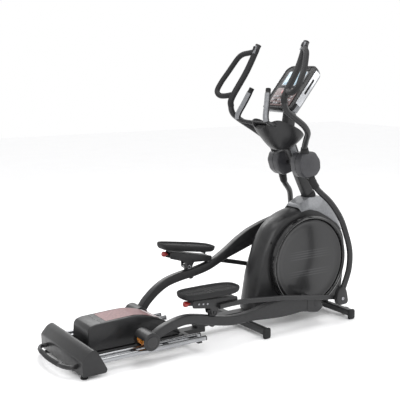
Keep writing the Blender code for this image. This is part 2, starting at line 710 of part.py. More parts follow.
# ---- housing ----------------------------------------------------------------------------------
# Outline at the middle plane with, per point, how far it moves (x, z) by the time it reaches
# the flat side. The sideways section between the two is an ellipse.
SHROUD_PROFILE = [(0.318, SHROUD_LOW, 0.055, 0.0), (0.329, 0.186, 0.055, 0.0),
                  (0.348, 0.301, 0.055, 0.0), (0.357, 0.350, 0.055, -0.003),
                  (0.397, 0.474, 0.055, -0.015), (0.439, 0.563, 0.050, -0.022),
                  (0.491, 0.644, 0.042, -0.028), (0.588, 0.706, 0.025, -0.028),
                  (0.707, 0.738, 0.008, -0.025), (0.785, 0.746, 0.0, -0.022),
                  (0.865, 0.722, -0.004, -0.018), (0.950, 0.676, -0.008, -0.015),
                  (1.037, 0.618, -0.012, -0.012), (1.078, 0.565, -0.012, -0.005),
                  (1.100, 0.510, -0.012, 0.0), (1.111, 0.440, -0.012, 0.0),
                  (1.108, 0.300, -0.012, 0.0), (1.085, SHROUD_LOW, -0.012, 0.0)]
SHROUD_STATIONS = (TOUCH, 0.030, 0.055, 0.072, SHROUD_HALF)
CAP_TOP = [(0.720, 0.765), (0.800, 0.803), (0.925, 0.803), (0.990, 0.738), (1.050, 0.665),
           (1.085, 0.590)]
CAP_POINTS = slice(8, 14)         # the part of the profile that the cap covers


def shroud_ring(distance):
    """Outline of the shell at a distance from the middle plane."""
    reach = min(1.0, distance / (SHROUD_HALF + 0.0025))
    share = 1.0 - math.sqrt(1.0 - reach ** 2)
    return [(x + dx * share, z + dz * share) for x, z, dx, dz in SHROUD_PROFILE]


def build_shrouds(mast_room):
    """Two thin half shells, open below, each with a raised lip round its crank disc."""
    low = SHROUD_LOW
    wall = SHROUD_WALL
    for side, sign in SIDES.items():
        def ring_at(distance, outline):
            return [(x, sign * distance, z) for x, z in outline]
        shell = loft([ring_at(y, shroud_ring(y)) for y in SHROUD_STATIONS])
        rooms = [ring_at(-0.01, sink(shrink_top(shroud_ring(0.0), wall, low), low))]
        for y in SHROUD_STATIONS[1:]:
            inner = sink(shrink_top(shroud_ring(y), wall, low), low)
            rooms.append(ring_at(y - wall * y / SHROUD_HALF, inner))
        room = loft(rooms)
        lip = turned_y([(r, sign * y) for r, y in (
            (RING_IN_RADIUS, SHROUD_HALF - 0.001), (RING_OUT_RADIUS, SHROUD_HALF - 0.001),
            (RING_OUT_RADIUS, RING_OUT_Y - 0.005), (RING_OUT_RADIUS - 0.005, RING_OUT_Y),
            (RING_IN_RADIUS + 0.004, RING_OUT_Y), (RING_IN_RADIUS, RING_OUT_Y - 0.004))],
            (CRANK_X, CRANK_Z), 36)
        bore = rod_y(0.024, *span_y(sign, SHROUD_HALF - 0.02, SHROUD_HALF + 0.02),
                     (CRANK_X, CRANK_Z), 24)
        mesh = join(cut(shell, room), lip)
        add("shroud_" + side, cut(mesh, bore, mast_room.copy()), "plastic")


def build_shroud_cap(mast_room):
    """Raised cap over the top of both shells, round the foot of the mast."""
    def ring_at(y, base, share):
        low = [(x + 0.0015, z + 0.003) for x, z in base[CAP_POINTS]]
        high = [(a + (c - a) * share, b + (d - b) * share) for (a, b), (c, d) in zip(low, CAP_TOP)]
        return [(x, y, z) for x, z in low + high[::-1]]
    edge = shroud_ring(SHROUD_HALF + 0.0005)
    middle = shroud_ring(0.0)
    side = SHROUD_HALF + 0.0005
    body = loft([ring_at(-side, edge, 0.12), ring_at(-0.055, middle, 1.0),
                 ring_at(0.055, middle, 1.0), ring_at(side, edge, 0.12)])
    add("shroud_cap", cut(body, mast_room.copy()), "silver")


# ---- mast, cup and console --------------------------------------------------------------------
MAST_PATH = [(0.975, 0.0, SPINE_FRONT_TOP + TOUCH), (0.972, 0.0, 0.30), (0.955, 0.0, 0.52),
             (0.905, 0.0, 0.70), (0.852, 0.0, 0.796), (0.775, 0.0, 0.944), (0.732, 0.0, 1.035),
             (0.680, 0.0, 1.147), (0.662, 0.0, 1.210), (0.660, 0.0, 1.280),
             (0.672, 0.0, MAST_TOP_Z)]


def mast_mesh(extra):
    section = chamfered(MAST_WIDTH + 2 * extra, MAST_DEPTH + 2 * extra, 0.012)
    path = smooth_path(MAST_PATH, 2)
    if extra > 0:
        path[0] = path[0] - Vector((0.0, 0.0, 0.02))
        path[-1] = path[-1] + Vector((0.0, 0.0, 0.02))
    return sweep(path, section)


def build_mast():
    axle = rod_y(AXLE_RADIUS, -BOOT_OUT_Y + 0.012, BOOT_OUT_Y - 0.012, (SWING_X, SWING_Z), 16)
    mast = mast_mesh(0.0)
    trim = block((0.5, -0.1, MAST_TOP_Z), (0.9, 0.1, MAST_TOP_Z + 0.1))
    base = block((0.8, -0.1, 0.0), (1.1, 0.1, SPINE_FRONT_TOP + TOUCH))
    add("mast", join(cut(mast, trim, base), axle), "steel_paint")


def cup_ring(z_low, scale, drop, inner):
    """Ring of the cup: rim heights rise at the rear corners and fall towards the front."""
    ring = []
    count = 18
    rear, front = 0.418, 0.738
    half = 0.125
    for i in range(count):
        angle = 2 * math.pi * i / count
        c, s = math.cos(angle), math.sin(angle)
        power = 0.62
        x = 0.5 * (rear + front) + 0.5 * (front - rear) * math.copysign(abs(c) ** power, c)
        y = half * math.copysign(abs(s) ** power, s)
        forward = (x - rear) / (front - rear)
        edge = abs(y) / half
        rim = 1.268 + 0.094 * edge ** 2 - 0.128 * forward * edge - 0.035 * forward * (1 - edge)
        x = 0.615 + (x - 0.615) * scale
        y = y * scale
        z = z_low + (rim - z_low) * drop
        ring.append((x + (inner if c < 0 else -inner) * abs(c), y - math.copysign(inner, s) * abs(s),
                     z))
    return ring


def build_cup(mast_room):
    base = 1.128
    outer = loft([cup_ring(base, 0.30, 0.0, 0.0), cup_ring(base, 0.58, 0.28, 0.0),
                  cup_ring(base, 0.86, 0.70, 0.0), cup_ring(base, 1.0, 1.0, 0.0)], True)
    floor = 1.165
    inner = loft([cup_ring(floor, 0.42, 0.0, 0.004), cup_ring(floor, 0.62, 0.30, 0.004),
                  cup_ring(floor, 0.87, 0.72, 0.004), cup_ring(floor, 1.0, 1.02, 0.005),
                  cup_ring(floor, 1.0, 1.3, 0.005)], True)
    bar_room = sweep(pulse_path(1.0)[5:-5], circle(PULSE_RADIUS + 0.002, 8))
    add("console_cup", cut(outer, inner, mast_room.copy(), bar_room), "plastic")


def pulse_path(sign):
    """Smooth run of the pulse bar, starting from the grip on one side."""
    half = [(0.430, 0.083, 1.520), (0.398, 0.114, 1.432), (0.367, 0.143, 1.350),
            (0.385, 0.142, 1.318), (0.450, 0.110, 1.303), (0.540, 0.060, 1.292)]
    middle = [(PULSE_MIDDLE_X, 0.0, 1.288)]
    points = half + middle + [(x, -y, z) for x, y, z in reversed(half)]
    return smooth_path([(x, sign * y, z) for x, y, z in points], 2)


def build_pulse_bar():
    add("pulse_bar", sweep(pulse_path(1.0), circle(PULSE_RADIUS, 8)), "steel_paint")
    for side, sign in SIDES.items():
        path = pulse_path(sign)
        outer = sweep(path[1:6], circle(PULSE_GRIP_RADIUS, 10))
        inner = sweep(path[0:8], circle(PULSE_RADIUS + 2 * RUN, 10))
        add("pulse_grip_" + side, cut(outer, inner), "silver")


def console_point(u, y, depth):
    """Point on the tilted console: u up the face, depth behind it."""
    lean = math.radians(CONSOLE_LEAN)
    return (CONSOLE_FOOT[0] + u * math.cos(lean) + depth * math.sin(lean), y,
            CONSOLE_FOOT[1] + u * math.sin(lean) - depth * math.cos(lean))


def console_slab(outline, front, back):
    """Outline of (y, u) points between two depths behind the face."""
    return loft([[console_point(u, y, depth) for y, u in outline] for depth in (front, back)])


def build_console():
    half, length = CONSOLE_HALF, CONSOLE_LENGTH
    face = [(-half + 0.030, 0.0), (half - 0.030, 0.0), (half, 0.100), (half, length - 0.030),
            (half - 0.035, length), (-half + 0.035, length), (-half, length - 0.030), (-half, 0.100)]
    face = rounded(face, 0.020, 2)
    add("console_bezel", console_slab(face, 0.0, BEZEL_THICK), "gloss")
    back = inset(face, 0.018)
    start = BEZEL_THICK + TOUCH
    shell = loft([[console_point(u, y, start) for y, u in face],
                  [console_point(u, y, start + 0.018) for y, u in face],
                  [console_point(u, y, start + HOUSING_THICK) for y, u in back]])
    low = console_point(0.060, 0.0, start + 0.004)
    high = console_point(0.160, 0.0, start + 0.030)
    neck = prism([(0.640, MAST_TOP_Z + TOUCH), (0.704, MAST_TOP_Z + TOUCH), (high[0], high[2]),
                  (low[0], low[2])], -0.045, 0.045)
    add("console_housing", join(shell, neck), "silver")
    screen = [(-0.085, 0.185), (0.085, 0.185), (0.085, 0.290), (-0.085, 0.290)]
    add("console_screen", console_slab(rounded(screen, 0.008, 2), -0.003, -TOUCH), "lens")


# ---- links on each side -----------------------------------------------------------------------
ARM_CURVE = [(0.050, 0.008), (0.099, 0.034), (0.183, 0.059), (0.268, 0.067), (0.368, 0.050),
             (0.469, 0.023), (0.580, 0.003), (0.690, 0.003), (0.790, 0.011)]
ARM_PLATE = [(0.651, -0.025), (0.654, 0.028), (0.749, 0.039), (0.848, 0.059), (0.958, 0.069),
             (1.079, 0.061), (1.199, 0.044), (1.280, 0.006), (1.308, -0.030), (1.265, -0.066),
             (1.193, -0.053), (1.132, -0.037), (1.078, -0.041), (0.952, -0.043), (0.832, -0.034),
             (0.741, -0.025)]


def build_connecting_arm(side, sign, pose):
    middle = sign * ARM_Y
    section = chamfered(2 * ARM_HALF, ARM_HEIGHT, 0.008)
    beam = sweep(smooth_path([(x, middle, z) for x, z in ARM_CURVE], 2), section)
    plate = prism(ARM_PLATE, *span_y(sign, ARM_Y - ARM_HALF + 0.001, ARM_Y + ARM_HALF - 0.001))
    hub = rod_y(0.030, *span_y(sign, ARM_Y - ARM_HALF, ARM_Y + ARM_HALF), (ARM_LENGTH, 0.0), 16)
    drum = rod_y(FENDER_OUT_RADIUS, *span_y(sign, FENDER_IN_Y, FENDER_OUT_Y), sides=20)
    inside = span_y(sign, FENDER_IN_Y + FENDER_WALL, FENDER_OUT_Y - FENDER_WALL)
    room = rod_y(FENDER_IN_RADIUS, *inside, sides=20)
    below = block((-0.07, inside[0], -0.08), (0.07, inside[1], -0.012))
    fender = cut(drum, room, below)
    web_y = span_y(sign, ARM_Y - 0.014, ARM_Y + 0.014)
    web = prism(link_outline((0.0, 0.0), 0.019, (0.052, 0.010), 0.016), *web_y)
    lug_y = span_y(sign, ARM_Y - 0.012, ARM_Y + 0.012)
    lug = prism(link_outline(PEDAL_PIVOT, 0.018, (PEDAL_PIVOT[0], 0.015), 0.024), *lug_y)
    pin = rod_y(PEDAL_PIN_RADIUS, *span_y(sign, cheek_span("inner")[0] - 0.003,
                                          cheek_span("outer")[1] + 0.002), PEDAL_PIVOT, 12)
    bore = rod_y(ROLLER_AXLE_RADIUS + RUN + BUSH_WALL + RUN, *span_y(sign, ARM_Y - 0.02, ARM_Y + 0.02),
                 sides=16)
    mesh = cut(join(beam, plate, hub, fender, web, lug, pin), bore)
    roller = pose["roller"]
    add("connecting_arm_" + side, mesh, "steel_paint", (roller[0], 0.0, roller[1]),
        pose["arm_angle"])


def cheek_span(which):
    """Distances from the middle plane of the pedal bracket's inner and outer cheek."""
    gap = ARM_HALF + SIDE_PLAY
    if which == "inner":
        return (ARM_Y - gap - CHEEK, ARM_Y - gap)
    return (ARM_Y + gap, ARM_Y + gap + CHEEK)


def build_roller(side, sign, pose):
    place = (pose["roller"][0], 0.0, pose["roller"][1])
    inside = (FENDER_IN_Y + FENDER_WALL + TOUCH, FENDER_OUT_Y - FENDER_WALL - TOUCH)
    axle = rod_y(ROLLER_AXLE_RADIUS, *span_y(sign, *inside), sides=16)
    add("roller_axle_" + side, axle, "steel", place)
    bush = ring_y(ROLLER_AXLE_RADIUS + RUN, ROLLER_AXLE_RADIUS + RUN + BUSH_WALL,
                  *span_y(sign, ARM_Y - 0.012, ARM_Y + 0.012), sides=16)
    add("roller_bush_" + side, bush, "steel", place)
    for label, middle in (("inner", TRACK_INNER_Y), ("outer", TRACK_OUTER_Y)):
        low, high = span_y(sign, middle - WHEEL_HALF, middle + WHEEL_HALF)
        hub = ROLLER_AXLE_RADIUS + RUN
        profile = [(hub, low), (WHEEL_RADIUS - 0.003, low), (WHEEL_RADIUS, low + 0.004),
                   (WHEEL_RADIUS, high - 0.004), (WHEEL_RADIUS - 0.003, high), (hub, high)]
        add("track_wheel_" + label + "_" + side, turned_y(profile, sides=20), "amber", place)


def build_pedal_arm(side, sign, pose):
    """Slim foot bar with two cheeks that straddle the connecting arm."""
    pivot = pose["pivot"]
    place = (pivot[0], 0.0, pivot[1])
    outer = cheek_span("outer")
    inner = cheek_span("inner")
    plate = [(-0.155, 0.042), (-0.030, 0.030), (-0.019, -0.012), (0.0, -0.020), (0.019, -0.012),
             (0.030, 0.034), (0.165, 0.052), (0.160, 0.086), (-0.155, 0.086)]
    cheeks = [prism(plate, *span_y(sign, *pair)) for pair in (inner, outer)]
    bridge = span_y(sign, inner[0] + 0.001, outer[1] - 0.001)
    deck = block((-0.150, bridge[0], 0.079), (0.150, bridge[1], 0.085))
    bar_y = sign * (outer[0] + PEDAL_BAR_WIDTH / 2 + 0.001)
    points = [(0.020, 0.040), (0.110, 0.048), (0.195, 0.052), (0.340, 0.048), (0.520, 0.040),
              (0.680, 0.026), (0.870, 0.008), (PEDAL_ARM_LENGTH, 0.0)]
    bar = sweep(smooth_path([(x, bar_y, z) for x, z in points], 2),
                chamfered(PEDAL_BAR_WIDTH - 0.001, 0.030, 0.007))
    eye = rod_y(0.020, bar_y - PEDAL_BAR_WIDTH / 2, bar_y + PEDAL_BAR_WIDTH / 2,
                (PEDAL_ARM_LENGTH, 0.0), 16)
    bush_radius = PEDAL_PIN_RADIUS + RUN + BUSH_WALL
    bore = rod_y(bush_radius + RUN, *span_y(sign, inner[0] - 0.01, outer[1] + 0.05), sides=12)
    mesh = cut(join(*cheeks, deck, bar, eye), bore)
    add("pedal_arm_" + side, mesh, "steel_paint", place, pose["pedal_angle"])
    bush = ring_y(PEDAL_PIN_RADIUS + RUN, bush_radius, *span_y(sign, *inner), sides=12)
    add("pedal_bush_" + side, bush, "steel", place, pose["pedal_angle"])
    knob = loft([[(x, y, z) for y, z in circle(radius, 12, (sign * ARM_Y, 0.0))]
                 for x, radius in ((-0.012, 0.014), (-0.009, 0.017), (0.009, 0.017), (0.012, 0.012),
                                   (0.013, 0.006), (0.026, 0.006))])
    spot = moved(pivot, (-0.184, 0.064), pose["pedal_angle"])
    add("pedal_knob_" + side, knob, "red", (spot[0], 0.0, spot[1]), pose["pedal_angle"])


def pedal_outline(inset_by):
    """Foot shape: round toe, slightly narrower round heel."""
    toe, heel = PEDAL_FRONT - inset_by, PEDAL_REAR + inset_by
    half = PEDAL_HALF - inset_by
    points = []
    count = 24
    for i in range(count):
        angle = 2 * math.pi * i / count
        c, s = math.cos(angle), math.sin(angle)
        power = 0.62 if c > 0 else 0.52
        x = 0.5 * (toe + heel) + 0.5 * (toe - heel) * math.copysign(abs(c) ** power, c)
        width = half * (1.0 if c > 0 else 0.97)
        points.append((x, width * math.copysign(abs(s) ** power, s)))
    return points


def build_pedal(side, sign, pose):
    hinge = moved(pose["pivot"], PEDAL_HINGE, pose["pedal_angle"])
    angle = pose["pedal_angle"] + PEDAL_PITCH

    def ring(distance, z):
        return [(x, sign * ARM_Y + y, z) for x, y in pedal_outline(distance)]
    body = loft([ring(0.022, PEDAL_LOW), ring(0.004, PEDAL_LOW + 0.014), ring(0.0, PEDAL_TOP - 0.008),
                 ring(0.003, PEDAL_TOP)])
    tray = loft([ring(0.012, PEDAL_TOP - 0.014), ring(0.009, PEDAL_TOP + 0.010)])
    barrel_y = span_y(sign, ARM_Y - 0.020, ARM_Y + 0.020)
    barrel = prism(link_outline((0.0, 0.0), 0.007, (0.0, PEDAL_LOW + 0.004), 0.009), *barrel_y)
    add("pedal_" + side, join(cut(body, tray), barrel), "rubber", (hinge[0], 0.0, hinge[1]), angle)


SWING_LOWER = [(0.004, -0.850, 0.306), (0.041, -0.802, 0.306), (0.099, -0.703, 0.306),
               (0.121, -0.585, 0.306), (0.108, -0.460, 0.300), (0.103, -0.360, 0.270),
               (0.078, -0.258, 0.220), (0.024, -0.168, 0.180), (0.002, -0.086, 0.150)]
SWING_UPPER = [(-0.004, 0.000, 0.135), (-0.020, 0.105, 0.148), (-0.035, 0.170, 0.190),
               (-0.061, 0.232, 0.248), (-0.107, 0.291, 0.272), (-0.161, 0.347, 0.266),
               (-0.203, 0.398, 0.252), (-0.209, 0.449, 0.244), (-0.187, 0.502, 0.238),
               (-0.046, 0.632, 0.213), (0.069, 0.770, 0.182)]
SWING_LOOP = [(-0.168, 0.516, 0.240), (-0.200, 0.514, 0.288), (-0.213, 0.520, 0.338),
              (-0.201, 0.546, 0.372), (-0.160, 0.590, 0.364), (-0.102, 0.643, 0.339),
              (-0.038, 0.712, 0.294), (-0.012, 0.733, 0.262), (0.014, 0.735, 0.226),
              (0.036, 0.736, 0.192)]
BUTTON_AT = 0.030         # how far down the grip from its end the button sits
BUTTON_THICK = 0.004
BUTTON_TRAVEL = 0.0015
PANEL_TOP = SWING_TUBE_RADIUS + 0.0015


def build_swing_arm(side, sign, pose):
    place = (SWING_X, 0.0, SWING_Z)
    angle = pose["swing_angle"]
    main = [(x, sign * y, z) for x, z, y in SWING_LOWER + SWING_UPPER]
    path = smooth_path(main, 2)
    pole = sweep(path, circle(SWING_TUBE_RADIUS, 8))
    loop = tube([(x, sign * y, z) for x, z, y in SWING_LOOP], SWING_TUBE_RADIUS * 0.92, 8, 2)
    shoe = [(-0.040, -0.915), (0.036, -0.925), (0.048, -0.905), (0.044, -0.830), (0.020, -0.800),
            (-0.020, -0.812), (-0.046, -0.860)]
    shoe_y = (SWING_LOWER_Y - 0.017, SWING_LOWER_Y + 0.019)
    bracket = prism(rounded(shoe, 0.015, 2), *span_y(sign, *shoe_y))
    hub_y = span_y(sign, BOOT_IN_Y + 0.006, BOOT_OUT_Y - 0.012)
    hub = rod_y(0.028, *hub_y, sides=16)
    bore = rod_y(AXLE_RADIUS + RUN, *span_y(sign, BOOT_IN_Y - 0.01, BOOT_OUT_Y + 0.01), sides=16)
    panel = button_panel(sign)
    arm = cut(join(pole, loop, bracket, hub, panel), bore)
    add("swing_arm_" + side, arm, "steel_paint", place, angle)
    build_boot(side, sign, place, angle, path)
    build_grip_button(side, sign, angle)


def build_boot(side, sign, place, angle, path):
    outline = rounded([(-0.082, -0.030), (-0.050, -0.076), (0.040, -0.080), (0.080, -0.045),
                       (0.086, 0.015), (0.050, 0.080), (-0.050, 0.088), (-0.085, 0.040)], 0.03, 2)
    small = inset(outline, 0.012)

    def ring(distance, shape):
        return [(x, sign * distance, z) for x, z in shape]
    body = loft([ring(BOOT_IN_Y, small), ring(BOOT_IN_Y + 0.010, outline),
                 ring(BOOT_OUT_Y - 0.014, outline), ring(BOOT_OUT_Y, small)])
    first = 2 * (len(SWING_LOWER) - 3)
    tube_room = sweep(path[first:first + 11], circle(SWING_TUBE_RADIUS + 0.0017, 8))
    hub_room = rod_y(0.029, *span_y(sign, BOOT_IN_Y + 0.005, BOOT_OUT_Y - 0.010), sides=16)
    axle_room = rod_y(AXLE_RADIUS + 0.002, *span_y(sign, BOOT_IN_Y - 0.01, BOOT_IN_Y + 0.02),
                      sides=16)
    add("swing_boot_" + side, cut(body, tube_room, hub_room, axle_room), "plastic", place, angle)


def grip_end():
    """Place, direction and rider-side normal of the grip just below its end, in the XZ plane."""
    top = Vector((SWING_UPPER[-1][0], SWING_UPPER[-1][1]))
    below = Vector((SWING_UPPER[-2][0], SWING_UPPER[-2][1]))
    along = (top - below).normalized()
    share = BUTTON_AT / (top - below).length
    y = SWING_UPPER[-1][2] + (SWING_UPPER[-2][2] - SWING_UPPER[-1][2]) * share
    return top - along * BUTTON_AT, along, Vector((-along.y, along.x)), y


def button_panel(sign):
    """Flat pad on the grip that the button stands over."""
    centre, along, outward, y = grip_end()
    a, b = along * 0.022, outward * PANEL_TOP
    root = outward * (SWING_TUBE_RADIUS - 0.008)
    corners = [centre - a + root, centre + a + root, centre + a * 0.9 + b, centre - a * 0.9 + b]
    return prism([tuple(c) for c in corners], *span_y(sign, y - 0.012, y + 0.012))


def grip_button_pose(angle):
    """Centre and inward direction of the button on the rider's face of the grip."""
    centre, along, outward, _ = grip_end()
    height = PANEL_TOP + BUTTON_TRAVEL + TOUCH + BUTTON_THICK / 2
    spot = centre + outward * height
    inward = turned((-outward.x, -outward.y), angle)
    return moved((SWING_X, SWING_Z), (spot.x, spot.y), angle), inward, along


def build_grip_button(side, sign, angle):
    spot, _, along = grip_button_pose(angle)
    tilt = math.degrees(math.atan2(along.y, along.x))
    y = sign * grip_end()[3]
    half = BUTTON_THICK / 2
    outline = [(-0.013, -half), (0.013, -half), (0.013, half - 0.001), (0.011, half),
               (-0.011, half), (-0.013, half - 0.001)]
    mesh = prism(outline, y - 0.007, y + 0.007)
    add("grip_button_" + side, mesh, "rubber", (spot[0], 0.0, spot[1]), angle + tilt)


def build_side(side, sign):
    pose = solve_side(sign)
    build_roller(side, sign, pose)
    build_connecting_arm(side, sign, pose)
    build_pedal_arm(side, sign, pose)
    build_pedal(side, sign, pose)
    build_swing_arm(side, sign, pose)


def main():
    clear_scene()
    build_spine()
    build_axle_tower()
    build_stabilisers()
    build_feet_and_wheels()
    build_rear_cover()
    build_ramp()
    build_incline_drive()
    build_crank()
    build_flywheel()
    build_belt()
    build_brake()
    mast_room = mast_mesh(0.002)
    build_shrouds(mast_room)
    build_shroud_cap(mast_room)
    build_mast()
    build_cup(mast_room)
    build_pulse_bar()
    build_console()
    for side, sign in SIDES.items():
        build_side(side, sign)


main()
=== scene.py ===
"""Looks of a front-drive elliptical trainer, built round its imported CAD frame.

Numbers named like those of the CAD are in its design frame; SHIFT moves them to the row frame.
"""
import json
import math

import bmesh
import bpy
from mathutils import Matrix, Vector


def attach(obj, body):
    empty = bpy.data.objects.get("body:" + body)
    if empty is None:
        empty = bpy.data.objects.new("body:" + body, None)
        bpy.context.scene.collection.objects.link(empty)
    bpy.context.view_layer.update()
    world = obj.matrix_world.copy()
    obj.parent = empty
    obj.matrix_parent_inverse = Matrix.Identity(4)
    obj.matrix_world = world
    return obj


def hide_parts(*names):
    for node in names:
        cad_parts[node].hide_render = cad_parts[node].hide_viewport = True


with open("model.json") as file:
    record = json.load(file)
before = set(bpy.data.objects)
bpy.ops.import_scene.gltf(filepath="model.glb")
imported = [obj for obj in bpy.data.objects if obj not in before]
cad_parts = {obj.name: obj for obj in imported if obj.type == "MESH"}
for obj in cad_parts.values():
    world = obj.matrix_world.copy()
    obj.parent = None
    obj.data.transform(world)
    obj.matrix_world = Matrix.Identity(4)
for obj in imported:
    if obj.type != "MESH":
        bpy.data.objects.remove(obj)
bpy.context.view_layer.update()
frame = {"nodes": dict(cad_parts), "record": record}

# ---- dimensions shared with the frame ----------------------------------------------------------
SHIFT = -0.035
CRANK = (0.764, 0.390)
CRANK_RADIUS = 0.2435
CRANK_PHASE = 10.0
DISC_RADIUS = 0.280
DISC_IN_Y, DISC_OUT_Y = 0.1095, 0.1235
RING_IN, RING_OUT, RING_OUT_Y = 0.2845, 0.3065, 0.135
SHROUD_HALF, SHROUD_LOW = 0.085, 0.1105
ROLLER_Z = 0.140
ARM_Y, ARM_HALF, ARM_HEIGHT, ARM_LENGTH = 0.230, 0.023, 0.056, 1.2516
FENDER_OUT, FENDER_IN = 0.0520, 0.0455
FENDER_IN_Y, FENDER_OUT_Y = 0.166, 0.294
PEDAL_PIVOT = (0.4422, 0.0831)
PEDAL_ARM_LENGTH = 0.965
PEDAL_HINGE = (0.110, 0.100)
PEDAL_PITCH = 3.0
PEDAL_REAR, PEDAL_FRONT, PEDAL_HALF = -0.335, 0.065, 0.085
PEDAL_LOW, PEDAL_TOP = 0.010, 0.050
SWING = (0.715, 1.035)
SWING_LENGTH = 0.878
TUBE = 0.019
BOOT_IN_Y, BOOT_OUT_Y = 0.064, 0.170
STABILISER_HALF = 0.272
CASTOR = (1.0475, 0.026)
LEAN = math.radians(50.5)
CONSOLE_FOOT = (0.560, 1.395)
CONSOLE_HALF, CONSOLE_LENGTH, BEZEL = 0.150, 0.345, 0.022
SIDES = {"right": -1.0, "left": 1.0}


# ---- mesh helpers ------------------------------------------------------------------------------
def mesh_from(vertices, faces):
    mesh = bpy.data.meshes.new("shape")
    shape = bmesh.new()
    points = [shape.verts.new(v) for v in vertices]
    for face in faces:
        if len(set(face)) > 2:
            shape.faces.new([points[i] for i in face])
    bmesh.ops.recalc_face_normals(shape, faces=shape.faces)
    shape.to_mesh(mesh)
    shape.free()
    return mesh


def merge(meshes):
    """Several meshes as one."""
    shape = bmesh.new()
    for mesh in meshes:
        shape.from_mesh(mesh)
    result = bpy.data.meshes.new("shape")
    shape.to_mesh(result)
    shape.free()
    return result


def loft(rings, endless=False):
    """Rings joined one to the next, capped at both ends or, when endless, last to first."""
    count, rows = len(rings[0]), len(rings)
    faces = []
    for row in range(rows if endless else rows - 1):
        a, b = row * count, (row + 1) % rows * count
        for i in range(count):
            j = (i + 1) % count
            faces.append((a + i, a + j, b + j, b + i))
    if not endless:
        last = (rows - 1) * count
        faces += [tuple(range(count)), tuple(range(last, last + count))]
    return mesh_from([p for ring in rings for p in ring], faces)


def prism(outline, y0, y1):
    return loft([[(x, y, z) for x, z in outline] for y in (y0, y1)])


def block(low, high):
    (x0, y0, z0), (x1, y1, z1) = low, high
    return prism([(x0, z0), (x1, z0), (x1, z1), (x0, z1)], y0, y1)


def circle(radius, sides, centre=(0.0, 0.0)):
    return [(centre[0] + radius * math.cos(2 * math.pi * i / sides),
             centre[1] + radius * math.sin(2 * math.pi * i / sides)) for i in range(sides)]


def lathe(profile, centre=(0.0, 0.0), sides=64, sign=1.0, endless=False):
    """(radius, y) profile turned about an axis along Y; a ring such as a tyre when endless."""
    return loft([[(x, sign * y, z) for x, z in circle(radius, sides, centre)]
                 for radius, y in profile], endless)


def smooth_path(points, per_span=6):
    """Points on a curve that passes through the given ones."""
    points = [Vector(p) for p in points]
    ends = [points[0] * 2 - points[1]] + points + [points[-1] * 2 - points[-2]]
    path = []
    for i in range(1, len(ends) - 2):
        a, b, c, d = ends[i - 1:i + 3]
        for step in range(per_span):
            t = step / per_span
            path.append(0.5 * ((2 * b) + (c - a) * t + (2 * a - 5 * b + 4 * c - d) * t ** 2
                               + (3 * b - a - 3 * c + d) * t ** 3))
    path.append(points[-1])
    return path


def frames_along(path):
    """Point, sideways and outward directions along a path, without twist."""
    side = None
    result = []
    for i, point in enumerate(path):
        tangent = (path[min(i + 1, len(path) - 1)] - path[max(i - 1, 0)]).normalized()
        if side is None:
            side = Vector((0.0, 1.0, 0.0))
            if abs(tangent.dot(side)) > 0.9:
                side = Vector((1.0, 0.0, 0.0))
        side = (side - tangent * side.dot(tangent)).normalized()
        result.append((point, side, tangent.cross(side)))
    return result


def sweep(path, section, scales=None):
    rings = []
    for i, (point, side, normal) in enumerate(frames_along(path)):
        k = scales[i] if scales else 1.0
        rings.append([point + side * a * k + normal * b * k for a, b in section])
    return loft(rings)


def round_ends(count, depth, run):
    """Scales along a sweep that close it with a soft dome at both ends."""
    scales = [1.0] * count
    for i in range(run):
        value = depth + (1.0 - depth) * math.sin(0.5 * math.pi * (i + 0.4) / run)
        scales[i] = value
        scales[count - 1 - i] = value
    return scales


def tube(points, radius, per_span=6):
    return sweep(smooth_path(points, per_span), circle(radius, 24))


def box_section(width, height, radius, steps=5):
    """Rectangle section with round corners, as (sideways, outward) offsets."""
    a, b = width / 2 - radius, height / 2 - radius
    points = []
    for k, (cx, cy) in enumerate(((a, b), (-a, b), (-a, -b), (a, -b))):
        for i in range(steps + 1):
            angle = 0.5 * math.pi * (k + i / steps)
            points.append((cx + radius * math.cos(angle), cy + radius * math.sin(angle)))
    return points


def rounded(outline, radius, steps=5):
    result = []
    count = len(outline)
    for i, point in enumerate(outline):
        here = Vector(point)
        before = Vector(outline[i - 1]) - here
        after = Vector(outline[(i + 1) % count]) - here
        reach = min(radius, before.length * 0.45, after.length * 0.45)
        start = here + before.normalized() * reach
        end = here + after.normalized() * reach
        for step in range(steps + 1):
            t = step / steps
            result.append(tuple(start * (1 - t) ** 2 + here * 2 * t * (1 - t) + end * t ** 2))
    return result


def inset(outline, distance):
    area = sum(a[0] * b[1] - b[0] * a[1] for a, b in zip(outline, outline[1:] + outline[:1]))
    turn = 1.0 if area > 0 else -1.0
    result = []
    count = len(outline)
    for i, point in enumerate(outline):
        here = Vector(point)
        first = (here - Vector(outline[i - 1])).normalized()
        second = (Vector(outline[(i + 1) % count]) - here).normalized()
        inward_a = Vector((-first.y, first.x)) * turn
        inward_b = Vector((-second.y, second.x)) * turn
        bisector = (inward_a + inward_b).normalized()
        result.append(tuple(here + bisector * (distance / max(0.35, bisector.dot(inward_a)))))
    return result


def link_outline(start, start_radius, end, end_radius, steps=12):
    """Two circles joined by their tangents."""
    dx, dz = end[0] - start[0], end[1] - start[1]
    heading = math.atan2(dz, dx)
    spread = math.acos((start_radius - end_radius) / math.hypot(dx, dz))
    outline = []
    for i in range(steps + 1):
        angle = heading - spread + 2 * spread * i / steps
        outline.append((end[0] + end_radius * math.cos(angle), end[1] + end_radius * math.sin(angle)))
    for i in range(steps + 1):
        angle = heading + spread + (2 * math.pi - 2 * spread) * i / steps
        outline.append((start[0] + start_radius * math.cos(angle),
                        start[1] + start_radius * math.sin(angle)))
    return outline


def span_y(sign, near, far):
    return tuple(sorted((sign * near, sign * far)))


def new_object(name, data):
    thing = bpy.data.objects.new(name, data)
    bpy.context.scene.collection.objects.link(thing)
    return thing


